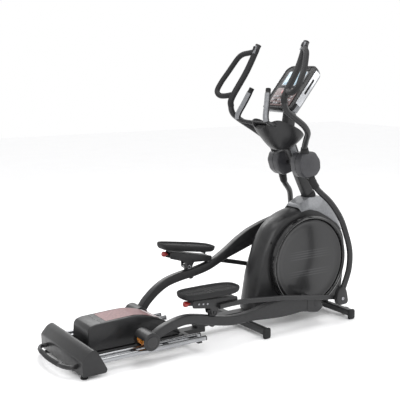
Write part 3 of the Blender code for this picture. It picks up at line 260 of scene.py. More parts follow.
def evaluated_mesh(thing):
    """The object's mesh with its modifiers applied."""
    bpy.context.view_layer.update()
    ready = thing.evaluated_get(bpy.context.evaluated_depsgraph_get())
    return bpy.data.meshes.new_from_object(ready)


def boolean(target, tools, operation="DIFFERENCE"):
    body = new_object("body", target)
    for tool_mesh in tools:
        tool = new_object("tool", tool_mesh)
        step = body.modifiers.new("step", "BOOLEAN")
        step.operation = operation
        step.solver = "EXACT"
        step.object = tool
        mesh = evaluated_mesh(body)
        body.modifiers.clear()
        body.data = mesh
        bpy.data.objects.remove(tool, do_unlink=True)
    mesh = body.data
    bpy.data.objects.remove(body, do_unlink=True)
    return mesh


# ---- materials ---------------------------------------------------------------------------------
def preset(made, **inputs):
    """Sets a shader node's sockets; an underscore stands for a space in a socket's name."""
    for key, value in inputs.items():
        made.inputs[key.replace("_", " ")].default_value = value
    return made


def surface(name, dark, light, rough, metallic=0.0, scale=35.0, grain=900.0, bump=0.12,
            depth=0.0004, spread=0.07, stretch=(1.0, 1.0, 1.0), coat=0.0, specular=0.5):
    """Two close shades mottled together, uneven gloss and a fine surface grain."""
    material = bpy.data.materials.new(name)
    material.use_nodes = True
    tree = material.node_tree
    link, new = tree.links.new, tree.nodes.new
    shader = preset(tree.nodes["Principled BSDF"], Metallic=metallic, Coat_Weight=coat,
                    Coat_Roughness=0.12, Specular_IOR_Level=specular)
    mapping = preset(new("ShaderNodeMapping"), Scale=stretch)
    link(new("ShaderNodeTexCoord").outputs["Object"], mapping.inputs["Vector"])
    broad = preset(new("ShaderNodeTexNoise"), Scale=scale, Detail=5.0, Roughness=0.6)
    fine = preset(new("ShaderNodeTexNoise"), Scale=grain, Detail=2.0, Roughness=0.5)
    for noise in (broad, fine):
        link(mapping.outputs["Vector"], noise.inputs["Vector"])
    ramp = new("ShaderNodeValToRGB")
    for stop, position, colour in zip(ramp.color_ramp.elements, (0.32, 0.68), (dark, light)):
        stop.position = position
        stop.color = (*colour, 1.0)
    link(broad.outputs["Fac"], ramp.inputs["Fac"])
    link(ramp.outputs["Color"], shader.inputs["Base Color"])
    gloss = preset(new("ShaderNodeMapRange"), From_Min=0.3, From_Max=0.7,
                   To_Min=max(0.03, rough - spread), To_Max=min(1.0, rough + spread))
    link(broad.outputs["Fac"], gloss.inputs["Value"])
    link(gloss.outputs["Result"], shader.inputs["Roughness"])
    lift = preset(new("ShaderNodeBump"), Strength=bump, Distance=depth)
    link(fine.outputs["Fac"], lift.inputs["Height"])
    link(lift.outputs["Normal"], shader.inputs["Normal"])
    return material


def grey(level, tint=0.03):
    return (level, level, level * (1.0 + tint * 2))


MATERIALS = {
    "coat": surface("powder_coat", grey(0.0125), grey(0.0185), 0.38, grain=1400, bump=0.10, coat=0.08,
                    specular=0.35),
    "inner": surface("inner_paint", grey(0.010), grey(0.016), 0.5, specular=0.3),
    "housing": surface("moulded_charcoal", grey(0.0105), grey(0.0150), 0.36, scale=22, grain=1700,
                       bump=0.08, coat=0.06, specular=0.35),
    "boot": surface("boot_plastic", grey(0.030, 0.05), grey(0.042, 0.05), 0.40, scale=26, grain=1700,
                    bump=0.08, specular=0.4),
    "lip": surface("gloss_lip", grey(0.007), grey(0.010), 0.16, coat=0.35, bump=0.02, specular=0.35),
    "silver": surface("silver_paint", (0.150, 0.154, 0.162), (0.205, 0.210, 0.220), 0.36,
                      metallic=0.30, scale=60, grain=2600, bump=0.04, coat=0.15, specular=0.4),
    "bright": surface("bright_trim", (0.46, 0.47, 0.49), (0.56, 0.57, 0.59), 0.26, metallic=0.6,
                      scale=60, grain=2600, bump=0.03, coat=0.2),
    "chrome": surface("polished_track", (0.24, 0.245, 0.255), (0.36, 0.365, 0.375), 0.22, metallic=1.0,
                      stretch=(0.08, 1.0, 1.0), scale=120, bump=0.04),
    "steel": surface("machined_steel", (0.32, 0.32, 0.34), (0.46, 0.46, 0.48), 0.30, metallic=1.0,
                     stretch=(1.0, 0.1, 1.0), scale=200, bump=0.06),
    "iron": surface("cast_iron", (0.10, 0.10, 0.105), (0.16, 0.16, 0.165), 0.42, metallic=0.8),
    "rubber": surface("black_rubber", grey(0.007), grey(0.012), 0.60, scale=50, grain=1100, bump=0.2,
                      specular=0.3),
    "foam": surface("foam_grip", grey(0.010), grey(0.016), 0.66, scale=90, grain=1500, bump=0.3,
                    depth=0.0003, specular=0.3),
    "tread": surface("pedal_tread", grey(0.010), grey(0.017), 0.46, scale=40, grain=1300, bump=0.2,
                     specular=0.4),
    "amber": surface("amber_urethane", (0.40, 0.135, 0.014), (0.55, 0.21, 0.03), 0.26, scale=70,
                     bump=0.04, coat=0.25),
    "red": surface("red_plastic", (0.22, 0.010, 0.008), (0.32, 0.016, 0.014), 0.32, coat=0.2),
    "belt": surface("ribbed_belt", grey(0.010), grey(0.016), 0.6),
    "black": surface("satin_black", grey(0.005), grey(0.009), 0.42, bump=0.02, specular=0.22),
    "patch": surface("printed_patch", (0.10, 0.030, 0.032), (0.24, 0.13, 0.13), 0.40, scale=70,
                     bump=0.02),
    "keys": surface("key_panel", (0.075, 0.045, 0.045), (0.115, 0.070, 0.068), 0.42, scale=30),
    "white": surface("white_print", (0.55, 0.55, 0.55), (0.66, 0.66, 0.66), 0.4),
}
preset(MATERIALS["amber"].node_tree.nodes["Principled BSDF"], Subsurface_Weight=0.15)


# Bands of fine lines on the disc: middle height and half height of each.
LINE_BANDS = ((CRANK[1] + 0.048, 0.030), (CRANK[1] - 0.070, 0.022))
LINE_PITCH, LINE_FADE, LINE_STRENGTH = 0.0165, 0.19, 0.55


def disc_material():
    """Dark disc with two bands of fine pale lines that fade out sideways."""
    material = surface("disc_face", grey(0.0105), grey(0.0120), 0.30, scale=16, grain=1600, bump=0.02,
                       coat=0.25, spread=0.015, specular=0.4)
    tree = material.node_tree
    link, new = tree.links.new, tree.nodes.new
    shader = tree.nodes["Principled BSDF"]
    base = shader.inputs["Base Color"].links[0].from_socket
    parts = new("ShaderNodeSeparateXYZ")
    link(new("ShaderNodeTexCoord").outputs["Object"], parts.inputs["Vector"])

    def compute(kind, *values):
        made = new("ShaderNodeMath")
        made.operation = kind
        for i, value in enumerate(values):
            if isinstance(value, float):
                made.inputs[i].default_value = value
            else:
                link(value, made.inputs[i])
        return made.outputs[0]
    total = None
    for middle, half in LINE_BANDS:
        off = compute("ABSOLUTE", compute("SUBTRACT", parts.outputs["Z"], middle))
        wave = compute("SINE", compute("MULTIPLY", parts.outputs["Z"], 2 * math.pi / LINE_PITCH))
        band = compute("MULTIPLY", compute("LESS_THAN", off, half),
                       compute("GREATER_THAN", wave, 0.1))
        total = band if total is None else compute("ADD", total, band)
    away = compute("ABSOLUTE", compute("SUBTRACT", parts.outputs["X"], CRANK[0] + SHIFT))
    fade = compute("SUBTRACT", 1.0, compute("MULTIPLY", away, 1.0 / LINE_FADE))
    fade = compute("MAXIMUM", fade, 0.0)
    mix = new("ShaderNodeMix")
    mix.data_type = "RGBA"
    factor, plain, printed = mix.inputs[0], mix.inputs[6], mix.inputs[7]
    printed.default_value = (0.060, 0.060, 0.064, 1.0)
    link(compute("MULTIPLY", compute("MULTIPLY", total, fade), LINE_STRENGTH), factor)
    link(base, plain)
    link(mix.outputs[2], shader.inputs["Base Color"])
    return material


def screen_material():
    """Lit display: pale blue with soft blocks."""
    material = surface("lit_display", (0.30, 0.46, 0.60), (0.55, 0.70, 0.80), 0.12, scale=9, bump=0.0)
    tree = material.node_tree
    link, new = tree.links.new, tree.nodes.new
    shader = preset(tree.nodes["Principled BSDF"], Emission_Strength=0.08)
    bricks = preset(new("ShaderNodeTexBrick"), Scale=38.0, Color1=(0.16, 0.26, 0.34, 1.0),
                    Color2=(0.36, 0.48, 0.56, 1.0), Mortar=(0.50, 0.60, 0.66, 1.0))
    mapping = preset(new("ShaderNodeMapping"), Rotation=(0.0, 0.0, math.radians(90)))
    link(new("ShaderNodeTexCoord").outputs["Object"], mapping.inputs["Vector"])
    link(mapping.outputs["Vector"], bricks.inputs["Vector"])
    for socket in ("Base Color", "Emission Color"):
        link(bricks.outputs["Color"], shader.inputs[socket])
    return material


MATERIALS["disc"] = disc_material()
MATERIALS["screen"] = screen_material()
SLOT_LOOK = {
    "frame_steel": "coat", "housing_plastic": "housing", "disc_plastic": "disc",
    "silver_plastic": "silver", "track_chrome": "chrome", "bright_steel": "steel",
    "inner_steel": "inner", "flywheel_iron": "iron", "roller_urethane": "amber",
    "black_rubber": "rubber", "belt_rubber": "belt", "grip_metal": "bright",
    "bezel_plastic": "black", "screen_glass": "screen", "knob_red": "red",
    "motor_plastic": "inner", "pulley_plastic": "inner"}


def dress_frame():
    for part in frame["record"]["subparts"]:
        thing = frame["nodes"][part["node"]]
        look = MATERIALS[SLOT_LOOK[part["material_slot"]]]
        for slot in thing.material_slots:
            slot.material = look
        if not thing.material_slots:
            thing.data.materials.append(look)


def piece(name, mesh, look, body="frame", slot=None, place=(0.0, 0.0), angle=0.0, bevel=0.0,
          stands_for=(), sharp=38):
    """A visible piece from a mesh in the design frame or, with place, in a link's own frame."""
    x, z = place
    move = Matrix.Translation((x + SHIFT, 0.0, z)) @ Matrix.Rotation(-math.radians(angle), 4, "Y")
    mesh.transform(move)
    mesh.materials.clear()
    mesh.materials.append(MATERIALS[look])
    mesh.shade_smooth()
    thing = new_object(name, mesh)
    if bevel:
        edge = thing.modifiers.new("edge", "BEVEL")
        edge.width = bevel
        edge.segments = 3
        edge.limit_method = "ANGLE"
        edge.angle_limit = math.radians(sharp)
        edge.harden_normals = False
    else:
        mesh.set_sharp_from_angle(angle=math.radians(sharp))
    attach(thing, body)
    if stands_for:
        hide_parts(*stands_for)


def screws(name, spots, radius, sign, body, look="steel", slot=None, **where):
    """Domed socket screws that face sideways: spots are (x, y of the seat, z)."""
    meshes = []
    for x, y, z in spots:
        top, low = y + radius * 0.45, y + radius * 0.18
        profile = [(radius, y), (radius, y + radius * 0.22), (radius * 0.82, top),
                   (radius * 0.5, top), (radius * 0.45, low), (radius * 0.05, low)]
        meshes.append(lathe(profile, (x, z), 20, sign))
    piece(name, merge(meshes), look, body, slot, **where)


# ---- linkage -----------------------------------------------------------------------------------
def turned(point, angle):
    a = math.radians(angle)
    return (point[0] * math.cos(a) - point[1] * math.sin(a),
            point[0] * math.sin(a) + point[1] * math.cos(a))


def moved(origin, point, angle):
    step = turned(point, angle)
    return (origin[0] + step[0], origin[1] + step[1])


def solve_side(sign):
    """Places and angles of one side's links when the machine is at rest."""
    phase = math.radians(CRANK_PHASE)
    pin = (CRANK[0] + sign * CRANK_RADIUS * math.sin(phase),
           CRANK[1] + sign * CRANK_RADIUS * math.cos(phase))
    rise = pin[1] - ROLLER_Z
    roller = (pin[0] - math.sqrt(ARM_LENGTH ** 2 - rise ** 2), ROLLER_Z)
    arm_angle = math.degrees(math.asin(rise / ARM_LENGTH))
    pivot = moved(roller, PEDAL_PIVOT, arm_angle)
    gap = (SWING[0] - pivot[0], SWING[1] - pivot[1])
    distance = math.hypot(*gap)
    along = (distance ** 2 + PEDAL_ARM_LENGTH ** 2 - SWING_LENGTH ** 2) / (2 * distance)
    offset = math.sqrt(PEDAL_ARM_LENGTH ** 2 - along ** 2)
    lower = (pivot[0] + (gap[0] * along + gap[1] * offset) / distance,
             pivot[1] + (gap[1] * along - gap[0] * offset) / distance)
    pedal_angle = math.degrees(math.atan2(lower[1] - pivot[1], lower[0] - pivot[0]))
    swing_angle = math.degrees(math.atan2(lower[0] - SWING[0], SWING[1] - lower[1]))
    return {"pin": pin, "roller": roller, "arm_angle": arm_angle, "pivot": pivot,
            "pedal_angle": pedal_angle, "swing_angle": swing_angle}


POSE = {side: solve_side(sign) for side, sign in SIDES.items()}


# ---- housing -----------------------------------------------------------------------------------
# x and z on the flat side, then how far the point drifts towards the middle seam.
SHROUD_PROFILE = [(0.318, SHROUD_LOW, 0.055, 0.0), (0.329, 0.186, 0.055, 0.0),
                  (0.348, 0.301, 0.055, 0.0), (0.357, 0.350, 0.055, -0.003),
                  (0.397, 0.474, 0.055, -0.015), (0.439, 0.563, 0.050, -0.022),
                  (0.491, 0.644, 0.042, -0.028), (0.588, 0.706, 0.025, -0.028),
                  (0.707, 0.738, 0.008, -0.025), (0.785, 0.746, 0.0, -0.022),
                  (0.865, 0.722, -0.004, -0.018), (0.950, 0.676, -0.008, -0.015),
                  (1.037, 0.618, -0.012, -0.012), (1.078, 0.565, -0.012, -0.005),
                  (1.100, 0.510, -0.012, 0.0), (1.111, 0.440, -0.012, 0.0),
                  (1.108, 0.300, -0.012, 0.0), (1.085, SHROUD_LOW, -0.012, 0.0)]
SHELL_REAR, SHELL_FRONT, SHELL_WALL, AXLE_HOLE = 0.36, 1.073, 0.003, 0.024


def fine_profile(per_span=3):
    """The shell's profile with its corners eased by a curve through its points."""
    flat = smooth_path([(x, 0.0, z) for x, z, _, _ in SHROUD_PROFILE], per_span)
    drift = smooth_path([(dx, 0.0, dz) for _, _, dx, dz in SHROUD_PROFILE], per_span)
    return [(a.x, a.z, b.x, b.z) for a, b in zip(flat, drift)]


def shell_ring(profile, distance):
    reach = min(1.0, distance / (SHROUD_HALF + 0.0025))
    share = 1.0 - math.sqrt(1.0 - reach ** 2)
    return [(x + dx * share, z + dz * share) for x, z, dx, dz in profile]


def build_shell(side, sign):
    """Half shell as a thin skin, open below, with the axle hole in its flat side."""
    profile = fine_profile()
    count = len(profile)
    stations = [0.0004, 0.012, 0.024, 0.036, 0.048, 0.058, 0.066, 0.072, 0.077, 0.081, 0.0835,
                SHROUD_HALF]
    vertices = []
    faces = []
    for y in stations:
        vertices += [(x, sign * y, z) for x, z in shell_ring(profile, y)]
    for row in range(len(stations) - 1):
        for i in range(count - 1):
            a, b = row * count + i, (row + 1) * count + i
            faces.append((a, a + 1, b + 1, b))
    last = (len(stations) - 1) * count
    edge = shell_ring(profile, SHROUD_HALF)
    floor_run = [(SHELL_FRONT - (SHELL_FRONT - SHELL_REAR) * i / 12, SHROUD_LOW) for i in range(1, 12)]
    vertices += [(x, sign * SHROUD_HALF, z) for x, z in floor_run]
    loop = list(range(last, len(vertices)))
    bore_start = len(vertices)
    for x, z in edge + floor_run:
        angle = math.atan2(z - CRANK[1], x - CRANK[0])
        vertices.append((CRANK[0] + AXLE_HOLE * math.cos(angle), sign * SHROUD_HALF,
                         CRANK[1] + AXLE_HOLE * math.sin(angle)))
    total = len(loop)
    for i in range(total):
        j = (i + 1) % total
        faces.append((loop[i], loop[j], bore_start + j, bore_start + i))
    mesh = mesh_from(vertices, faces)
    skin = new_object("skin", mesh)
    middle = sum((v.co for v in mesh.vertices), Vector()) / len(mesh.vertices)
    outward = sum(p.normal.dot(p.center - middle) * p.area for p in mesh.polygons)
    thick = skin.modifiers.new("thick", "SOLIDIFY")
    thick.thickness = SHELL_WALL
    thick.offset = -1.0 if outward > 0 else 1.0
    solid = evaluated_mesh(skin)
    bpy.data.objects.remove(skin, do_unlink=True)
    piece("shell_" + side, solid, "housing",
          stands_for=("shroud_" + side,), sharp=40)
    y0 = SHROUD_HALF - 0.001
    lip = [(RING_OUT, y0), (RING_OUT, RING_OUT_Y - 0.010), (RING_OUT - 0.002, RING_OUT_Y - 0.004),
           (RING_OUT - 0.006, RING_OUT_Y - 0.001), (RING_OUT - 0.010, RING_OUT_Y),
           (RING_OUT - 0.015, RING_OUT_Y - 0.002), (RING_IN + 0.002, RING_OUT_Y - 0.007),
           (RING_IN, RING_OUT_Y - 0.013), (RING_IN, y0)]
    ring = lathe(lip, CRANK, 96, sign, True)
    piece("disc_surround_" + side, ring, "lip", sharp=30)
    groove = [(RING_OUT + 0.012, y0), (RING_OUT + 0.0115, y0 + 0.0022), (RING_OUT + 0.0005, y0 + 0.0035),
              (RING_OUT + 0.0005, y0)]
    bead = lathe(groove, CRANK, 96, sign, True)
    piece("surround_bead_" + side, bead, "housing")
    spots = [(x, SHROUD_HALF - 0.0005, z) for x, z in ((0.470, 0.545), (0.400, 0.170),
                                                       (1.010, 0.590), (1.060, 0.170))]
    screws("shell_screws_" + side, spots, 0.0065, sign, "frame", "black", "housing_plastic")


def build_seam():
    """Dark strip in the joint between the two half shells."""
    profile = [(x, z) for x, z, _, _ in fine_profile()]
    outer, inner = (inset(profile, depth)[3:-3] for depth in (0.0012, 0.006))
    piece("shell_seam", prism(outer + inner[::-1], -0.0012, 0.0012), "black", "frame", "housing_plastic")


CAP_TOP = [(0.720, 0.765), (0.800, 0.803), (0.925, 0.803), (0.990, 0.738), (1.050, 0.665),
           (1.085, 0.590)]


def build_cap():
    """Silver cap over the shell's top, cut out round the mast."""
    def ring_at(y, base, share):
        low = [(x + 0.0015, z + 0.003) for x, z in base[8:14]]
        high = [(a + (c - a) * share, b + (d - b) * share) for (a, b), (c, d) in zip(low, CAP_TOP)]
        return [(x, y, z) for x, z in rounded(low + high[::-1], 0.010, 4)]
    side, shoulder, rim_share = SHROUD_HALF + 0.0005, 0.055, 0.12
    edge = shell_ring(SHROUD_PROFILE, side)
    middle = shell_ring(SHROUD_PROFILE, 0.0)
    rings = [ring_at(-side, edge, rim_share), ring_at(-shoulder, middle, 1.0),
             ring_at(shoulder, middle, 1.0), ring_at(side, edge, rim_share)]
    body = boolean(loft(rings), [mast_mesh(0.002)])
    piece("top_cap", body, "silver", "frame", "silver_plastic", bevel=0.003,
          stands_for=("shroud_cap",), sharp=30)


MAST_PATH = [(0.975, 0.0, 0.1105), (0.972, 0.0, 0.30), (0.955, 0.0, 0.52),
             (0.905, 0.0, 0.70), (0.852, 0.0, 0.796), (0.775, 0.0, 0.944), (0.732, 0.0, 1.035),
             (0.680, 0.0, 1.147), (0.662, 0.0, 1.210), (0.660, 0.0, 1.280), (0.672, 0.0, 1.360)]


def mast_mesh(extra):
    return sweep(smooth_path(MAST_PATH, 5),
                 box_section(0.060 + 2 * extra, 0.075 + 2 * extra, 0.014))


def build_mast():
    axle = lathe([(0.0125, -0.158), (0.0125, 0.158)], SWING, 32)
    piece("mast_column", merge([mast_mesh(0.0), axle]), "coat",
          stands_for=("mast",), sharp=30)
    path = smooth_path(MAST_PATH, 5)
    for side, sign in SIDES.items():
        run = [p + Vector((-0.006, sign * 0.0305, 0.0)) for p in path[31:42]]
        panel = sweep(run, box_section(0.003, 0.046, 0.0012, 2))
        piece("mast_panel_" + side, panel, "silver")
    collar = sweep(path[20:22], box_section(0.070, 0.085, 0.016))
    piece("mast_collar", collar, "rubber", "frame", "housing_plastic")


# ---- crank -------------------------------------------------------------------------------------
def build_disc(side, sign):
    profile = [(DISC_RADIUS - 0.004, DISC_IN_Y), (DISC_RADIUS, DISC_IN_Y + 0.003),
               (DISC_RADIUS, DISC_OUT_Y - 0.005), (DISC_RADIUS - 0.002, DISC_OUT_Y - 0.001),
               (DISC_RADIUS - 0.006, DISC_OUT_Y), (DISC_RADIUS - 0.012, DISC_OUT_Y),
               (DISC_RADIUS - 0.015, DISC_OUT_Y - 0.0018), (DISC_RADIUS - 0.060, DISC_OUT_Y - 0.0030),
               (DISC_RADIUS - 0.120, DISC_OUT_Y - 0.0040), (0.075, DISC_OUT_Y - 0.0045),
               (0.010, DISC_OUT_Y - 0.0045)]
    disc = lathe(profile, sides=96, sign=sign)
    piece("disc_" + side, disc, "disc", "crank", place=CRANK,
          stands_for=("crank_disc_" + side,), sharp=30)
    pin = POSE[side]["pin"]
    local = (pin[0] - CRANK[0], pin[1] - CRANK[1])
    boss = [(0.036, DISC_OUT_Y - 0.006), (0.035, DISC_OUT_Y + 0.004), (0.031, DISC_OUT_Y + 0.010),
            (0.030, 0.160), (0.0285, 0.165), (0.0225, 0.168), (0.0220, 0.190), (0.020, 0.192),
            (0.013, 0.192), (0.013, ARM_Y - ARM_HALF - 0.0015)]
    piece("crank_boss_" + side, lathe(boss, local, 40, sign), "coat", "crank", place=CRANK)


# ---- cup and console ---------------------------------------------------------------------------
def cup_ring(z_low, scale, drop, inner, count=56):
    ring = []
    rear, front, half = 0.418, 0.738, 0.125
    for i in range(count):
        angle = 2 * math.pi * i / count
        c, s = math.cos(angle), math.sin(angle)
        x = 0.5 * (rear + front) + 0.5 * (front - rear) * math.copysign(abs(c) ** 0.62, c)
        y = half * math.copysign(abs(s) ** 0.62, s)
        forward = (x - rear) / (front - rear)
        edge = abs(y) / half
        rim = 1.268 + 0.094 * edge ** 2 - 0.128 * forward * edge - 0.035 * forward * (1 - edge)
        x = 0.615 + (x - 0.615) * scale
        y = y * scale
        z = z_low + (rim - z_low) * drop
        ring.append((x + (inner if c < 0 else -inner) * abs(c), y - math.copysign(inner, s) * abs(s),
                     z))
    return ring


def build_cup():
    base, floor = 1.128, 1.165
    outside = [(0.27, 0.0), (0.36, 0.03), (0.46, 0.13), (0.58, 0.28), (0.72, 0.48), (0.86, 0.70),
               (0.95, 0.88), (0.995, 0.985), (1.0, 1.0)]
    inside = [(0.985, 1.0), (0.975, 0.97), (0.92, 0.84), (0.84, 0.68), (0.70, 0.45), (0.58, 0.27),
              (0.46, 0.08), (0.40, 0.0)]
    rings = [cup_ring(base, k, d, 0.0) for k, d in outside]
    rings += [cup_ring(floor, k, d, 0.003) for k, d in inside]
    piece("cup", loft(rings), "housing", stands_for=("console_cup",),
          sharp=50)
    # Thin sheet in the black rubber finish on the cup's floor: painted shade for the dark inside of the
    # pocket.
    pocket_shade_rings = [cup_ring(floor, 0.40, 0.006, 0.006), cup_ring(floor, 0.39, 0.02, 0.008)]
    piece("cup_floor_painted_shade", loft(pocket_shade_rings), "rubber")


def pulse_points(sign):
    half = [(0.430, 0.083, 1.520), (0.398, 0.114, 1.432), (0.367, 0.143, 1.350),
            (0.385, 0.142, 1.318), (0.450, 0.110, 1.303), (0.540, 0.060, 1.292)]
    points = half + [(0.6095, 0.0, 1.288)] + [(x, -y, z) for x, y, z in reversed(half)]
    return [(x, sign * y, z) for x, y, z in points]


def build_pulse():
    bar = sweep(smooth_path(pulse_points(1.0), 6), circle(0.0125, 20))
    piece("pulse_tube", bar, "coat", stands_for=("pulse_bar",))
    for side, sign in SIDES.items():
        path = smooth_path(pulse_points(sign), 6)[1:17]
        core = sweep(path, circle(0.0180, 24), round_ends(len(path), 0.8, 2))
        piece("pulse_core_" + side, core, "rubber", "frame", "grip_metal",
              stands_for=("pulse_grip_" + side,))
        section = []
        for i in range(15):
            angle = math.radians(180 - 78 + 156 * i / 14)
            section.append((0.0195 * math.sin(angle), 0.0195 * math.cos(angle)))
        section += [(a * 0.93, b * 0.93) for a, b in reversed(section)]
        plate = sweep(path[1:-1], section)
        piece("pulse_plate_" + side, plate, "silver", "frame", "grip_metal")
        end = sweep(smooth_path(pulse_points(sign), 6)[0:2], circle(0.0165, 24))
        piece("pulse_end_" + side, end, "black", "frame", "frame_steel")


def console_point(u, y, depth):
    """Place on the leaning console: u up its face, depth behind it."""
    return (CONSOLE_FOOT[0] + u * math.cos(LEAN) + depth * math.sin(LEAN), y,
            CONSOLE_FOOT[1] + u * math.sin(LEAN) - depth * math.cos(LEAN))


def console_loft(layers, endless=False):
    """Layers of (outline of (y, u) points, depth)."""
    return loft([[console_point(u, y, depth) for y, u in outline] for outline, depth in layers],
                endless)


def console_rect(y0, y1, u0, u1, radius=0.006):
    return rounded([(y0, u0), (y1, u0), (y1, u1), (y0, u1)], radius, 4)


def build_console():
    half, length = CONSOLE_HALF, CONSOLE_LENGTH
    face = [(-half + 0.004, 0.0), (half - 0.004, 0.0), (half, 0.060), (half, length - 0.030),
            (half - 0.035, length), (-half + 0.035, length), (-half, length - 0.030), (-half, 0.060)]
    face = rounded(face, 0.020, 6)
    layers = [(face, BEZEL), (face, 0.006), (inset(face, 0.0015), 0.002), (inset(face, 0.005), 0.0),
              (inset(face, 0.011), 0.0), (inset(face, 0.013), 0.003)]
    piece("bezel", console_loft(layers), "black",
          stands_for=("console_bezel",), sharp=30)
    start = BEZEL + 0.0005
    shell = [(face, start), (face, start + 0.014), (inset(face, 0.004), start + 0.026),
             (inset(face, 0.010), start + 0.037), (inset(face, 0.018), start + 0.045)]
    low = console_point(0.060, 0.0, start + 0.004)
    high = console_point(0.160, 0.0, start + 0.030)
    neck = prism([(0.640, 1.3605), (0.704, 1.3605), (high[0], high[2]), (low[0], low[2])],
                 -0.045, 0.045)
    piece("console_back", console_loft(shell), "silver",
          stands_for=("console_housing",), sharp=30)
    piece("console_neck", neck, "silver", bevel=0.006)
    glass = console_rect(-0.085, 0.085, 0.185, 0.290, 0.010)
    piece("display", console_loft([(glass, 0.001), (glass, -0.0025), (inset(glass, 0.0015), -0.003)]),
          "screen", stands_for=("console_screen",))
    outer, inner = inset(glass, -0.010), inset(glass, -0.0005)
    rim = [(outer, 0.003), (inset(outer, 0.002), -0.0025), (inset(outer, 0.005), -0.004),
           (inner, -0.0034), (inner, 0.003)]
    piece("display_frame", console_loft(rim, True), "silver", sharp=30)
    plate = console_rect(-0.105, 0.105, 0.022, 0.160, 0.014)
    piece("key_plate", console_loft([(plate, 0.003), (plate, -0.0006), (inset(plate, 0.001), -0.0010)]),
          "keys")
    keys, dark = [], []
    for row, u in enumerate((0.040, 0.066, 0.092)):
        for column in range(7):
            y = -0.081 + 0.027 * column
            key = console_rect(y - 0.0095, y + 0.0095, u - 0.007, u + 0.007, 0.003)
            mesh = console_loft([(key, 0.0), (key, -0.0020), (inset(key, 0.0012), -0.0028)])
            (dark if (row + column) % 3 == 0 else keys).append(mesh)
    piece("keys_light", merge(keys), "silver")
    piece("keys_dark", merge(dark), "black")
    for label, look, y0, y1 in (("start", "silver", -0.045, -0.008), ("stop", "red", 0.008, 0.045)):
        key = console_rect(y0, y1, 0.116, 0.146, 0.010)
        mesh = console_loft([(key, 0.0), (key, -0.0025), (inset(key, 0.002), -0.0038)])
        piece(label + "_key", mesh, look, "frame", "bezel_plastic")
    slots = []
    for y in [-0.082 + 0.0082 * i for i in range(21)]:
        slot = console_rect(y - 0.0024, y + 0.0024, 0.303, 0.328, 0.002)
        slots.append(console_loft([(slot, 0.0028), (slot, 0.0008)]))
    piece("speaker_slots", merge(slots), "inner", "frame", "silver_plastic")
    for side, sign in SIDES.items():
        strip = [(sign * (half + 0.0002), 0.050), (sign * (half + 0.0002), length - 0.036),
                 (sign * (half + 0.0028), length - 0.040), (sign * (half + 0.0028), 0.054)]
        mesh = console_loft([(strip, 0.002), (strip, 0.046)])
        piece("side_strip_" + side, mesh, "bright", bevel=0.001)
        bar = [(sign * (half + 0.0030), 0.135), (sign * (half + 0.0030), 0.250),
               (sign * (half + 0.0042), 0.246), (sign * (half + 0.0042), 0.139)]
        mesh = console_loft([(bar, 0.016), (bar, 0.030)])
        piece("side_port_" + side, mesh, "black")


# ---- ramp and floor frame ----------------------------------------------------------------------
def soft_prism(outline, half, soft, radius, steps=5):
    """Prism across the middle plane whose side edges are rounded over."""
    shape = rounded(outline, radius, 4)
    rings = [(-half + soft * (1 - math.cos(0.5 * math.pi * i / steps)),
              soft * (1 - math.sin(0.5 * math.pi * i / steps))) for i in range(steps + 1)]
    layers = [(y, inset(shape, d) if d > 1e-6 else shape) for y, d in rings]
    layers += [(-y, shape_at) for y, shape_at in reversed(layers)]
    return loft([[(x, y, max(z, outline[0][1])) for x, z in o] for y, o in layers])


def build_tracks():
    for side, sign in SIDES.items():
        rails, ends = [], []
        for middle in (0.198, 0.262):
            section = [(-0.012, 0.075), (0.012, 0.075)]
            for i in range(13):
                angle = math.pi * i / 12
                section.append((0.012 * math.cos(angle), 0.0895 + 0.010 * math.sin(angle)))
            rings = [[(x, sign * middle + y, z) for y, z in section] for x in (-0.878, -0.153)]
            rails.append(loft(rings))
            cap = [(y * 1.06, 0.087 + (z - 0.087) * 1.04) for y, z in section]
            rings = [[(x, sign * middle + y, z) for y, z in cap] for x in (-0.155, -0.150)]
            ends.append(loft(rings))
        piece("rails_" + side, merge(rails), "chrome", "ramp",
              stands_for=("track_" + side,), sharp=30)
        piece("rail_ends_" + side, merge(ends), "rubber", "ramp")
        ties = []
        for x in (-0.840, -0.600, -0.390, -0.190):
            low, high = span_y(sign, 0.192, 0.268)
            ties.append(block((x - 0.015, low, 0.0755), (x + 0.015, high, 0.0835)))
        piece("rail_ties_" + side, merge(ties), "coat", "ramp", bevel=0.002)


COVER = [(-0.836, 0.075), (-0.829, 0.205), (-0.815, 0.224), (-0.780, 0.234), (-0.577, 0.241),
         (-0.510, 0.240), (-0.429, 0.221), (-0.343, 0.186), (-0.263, 0.132), (-0.228, 0.098),
         (-0.222, 0.075)]


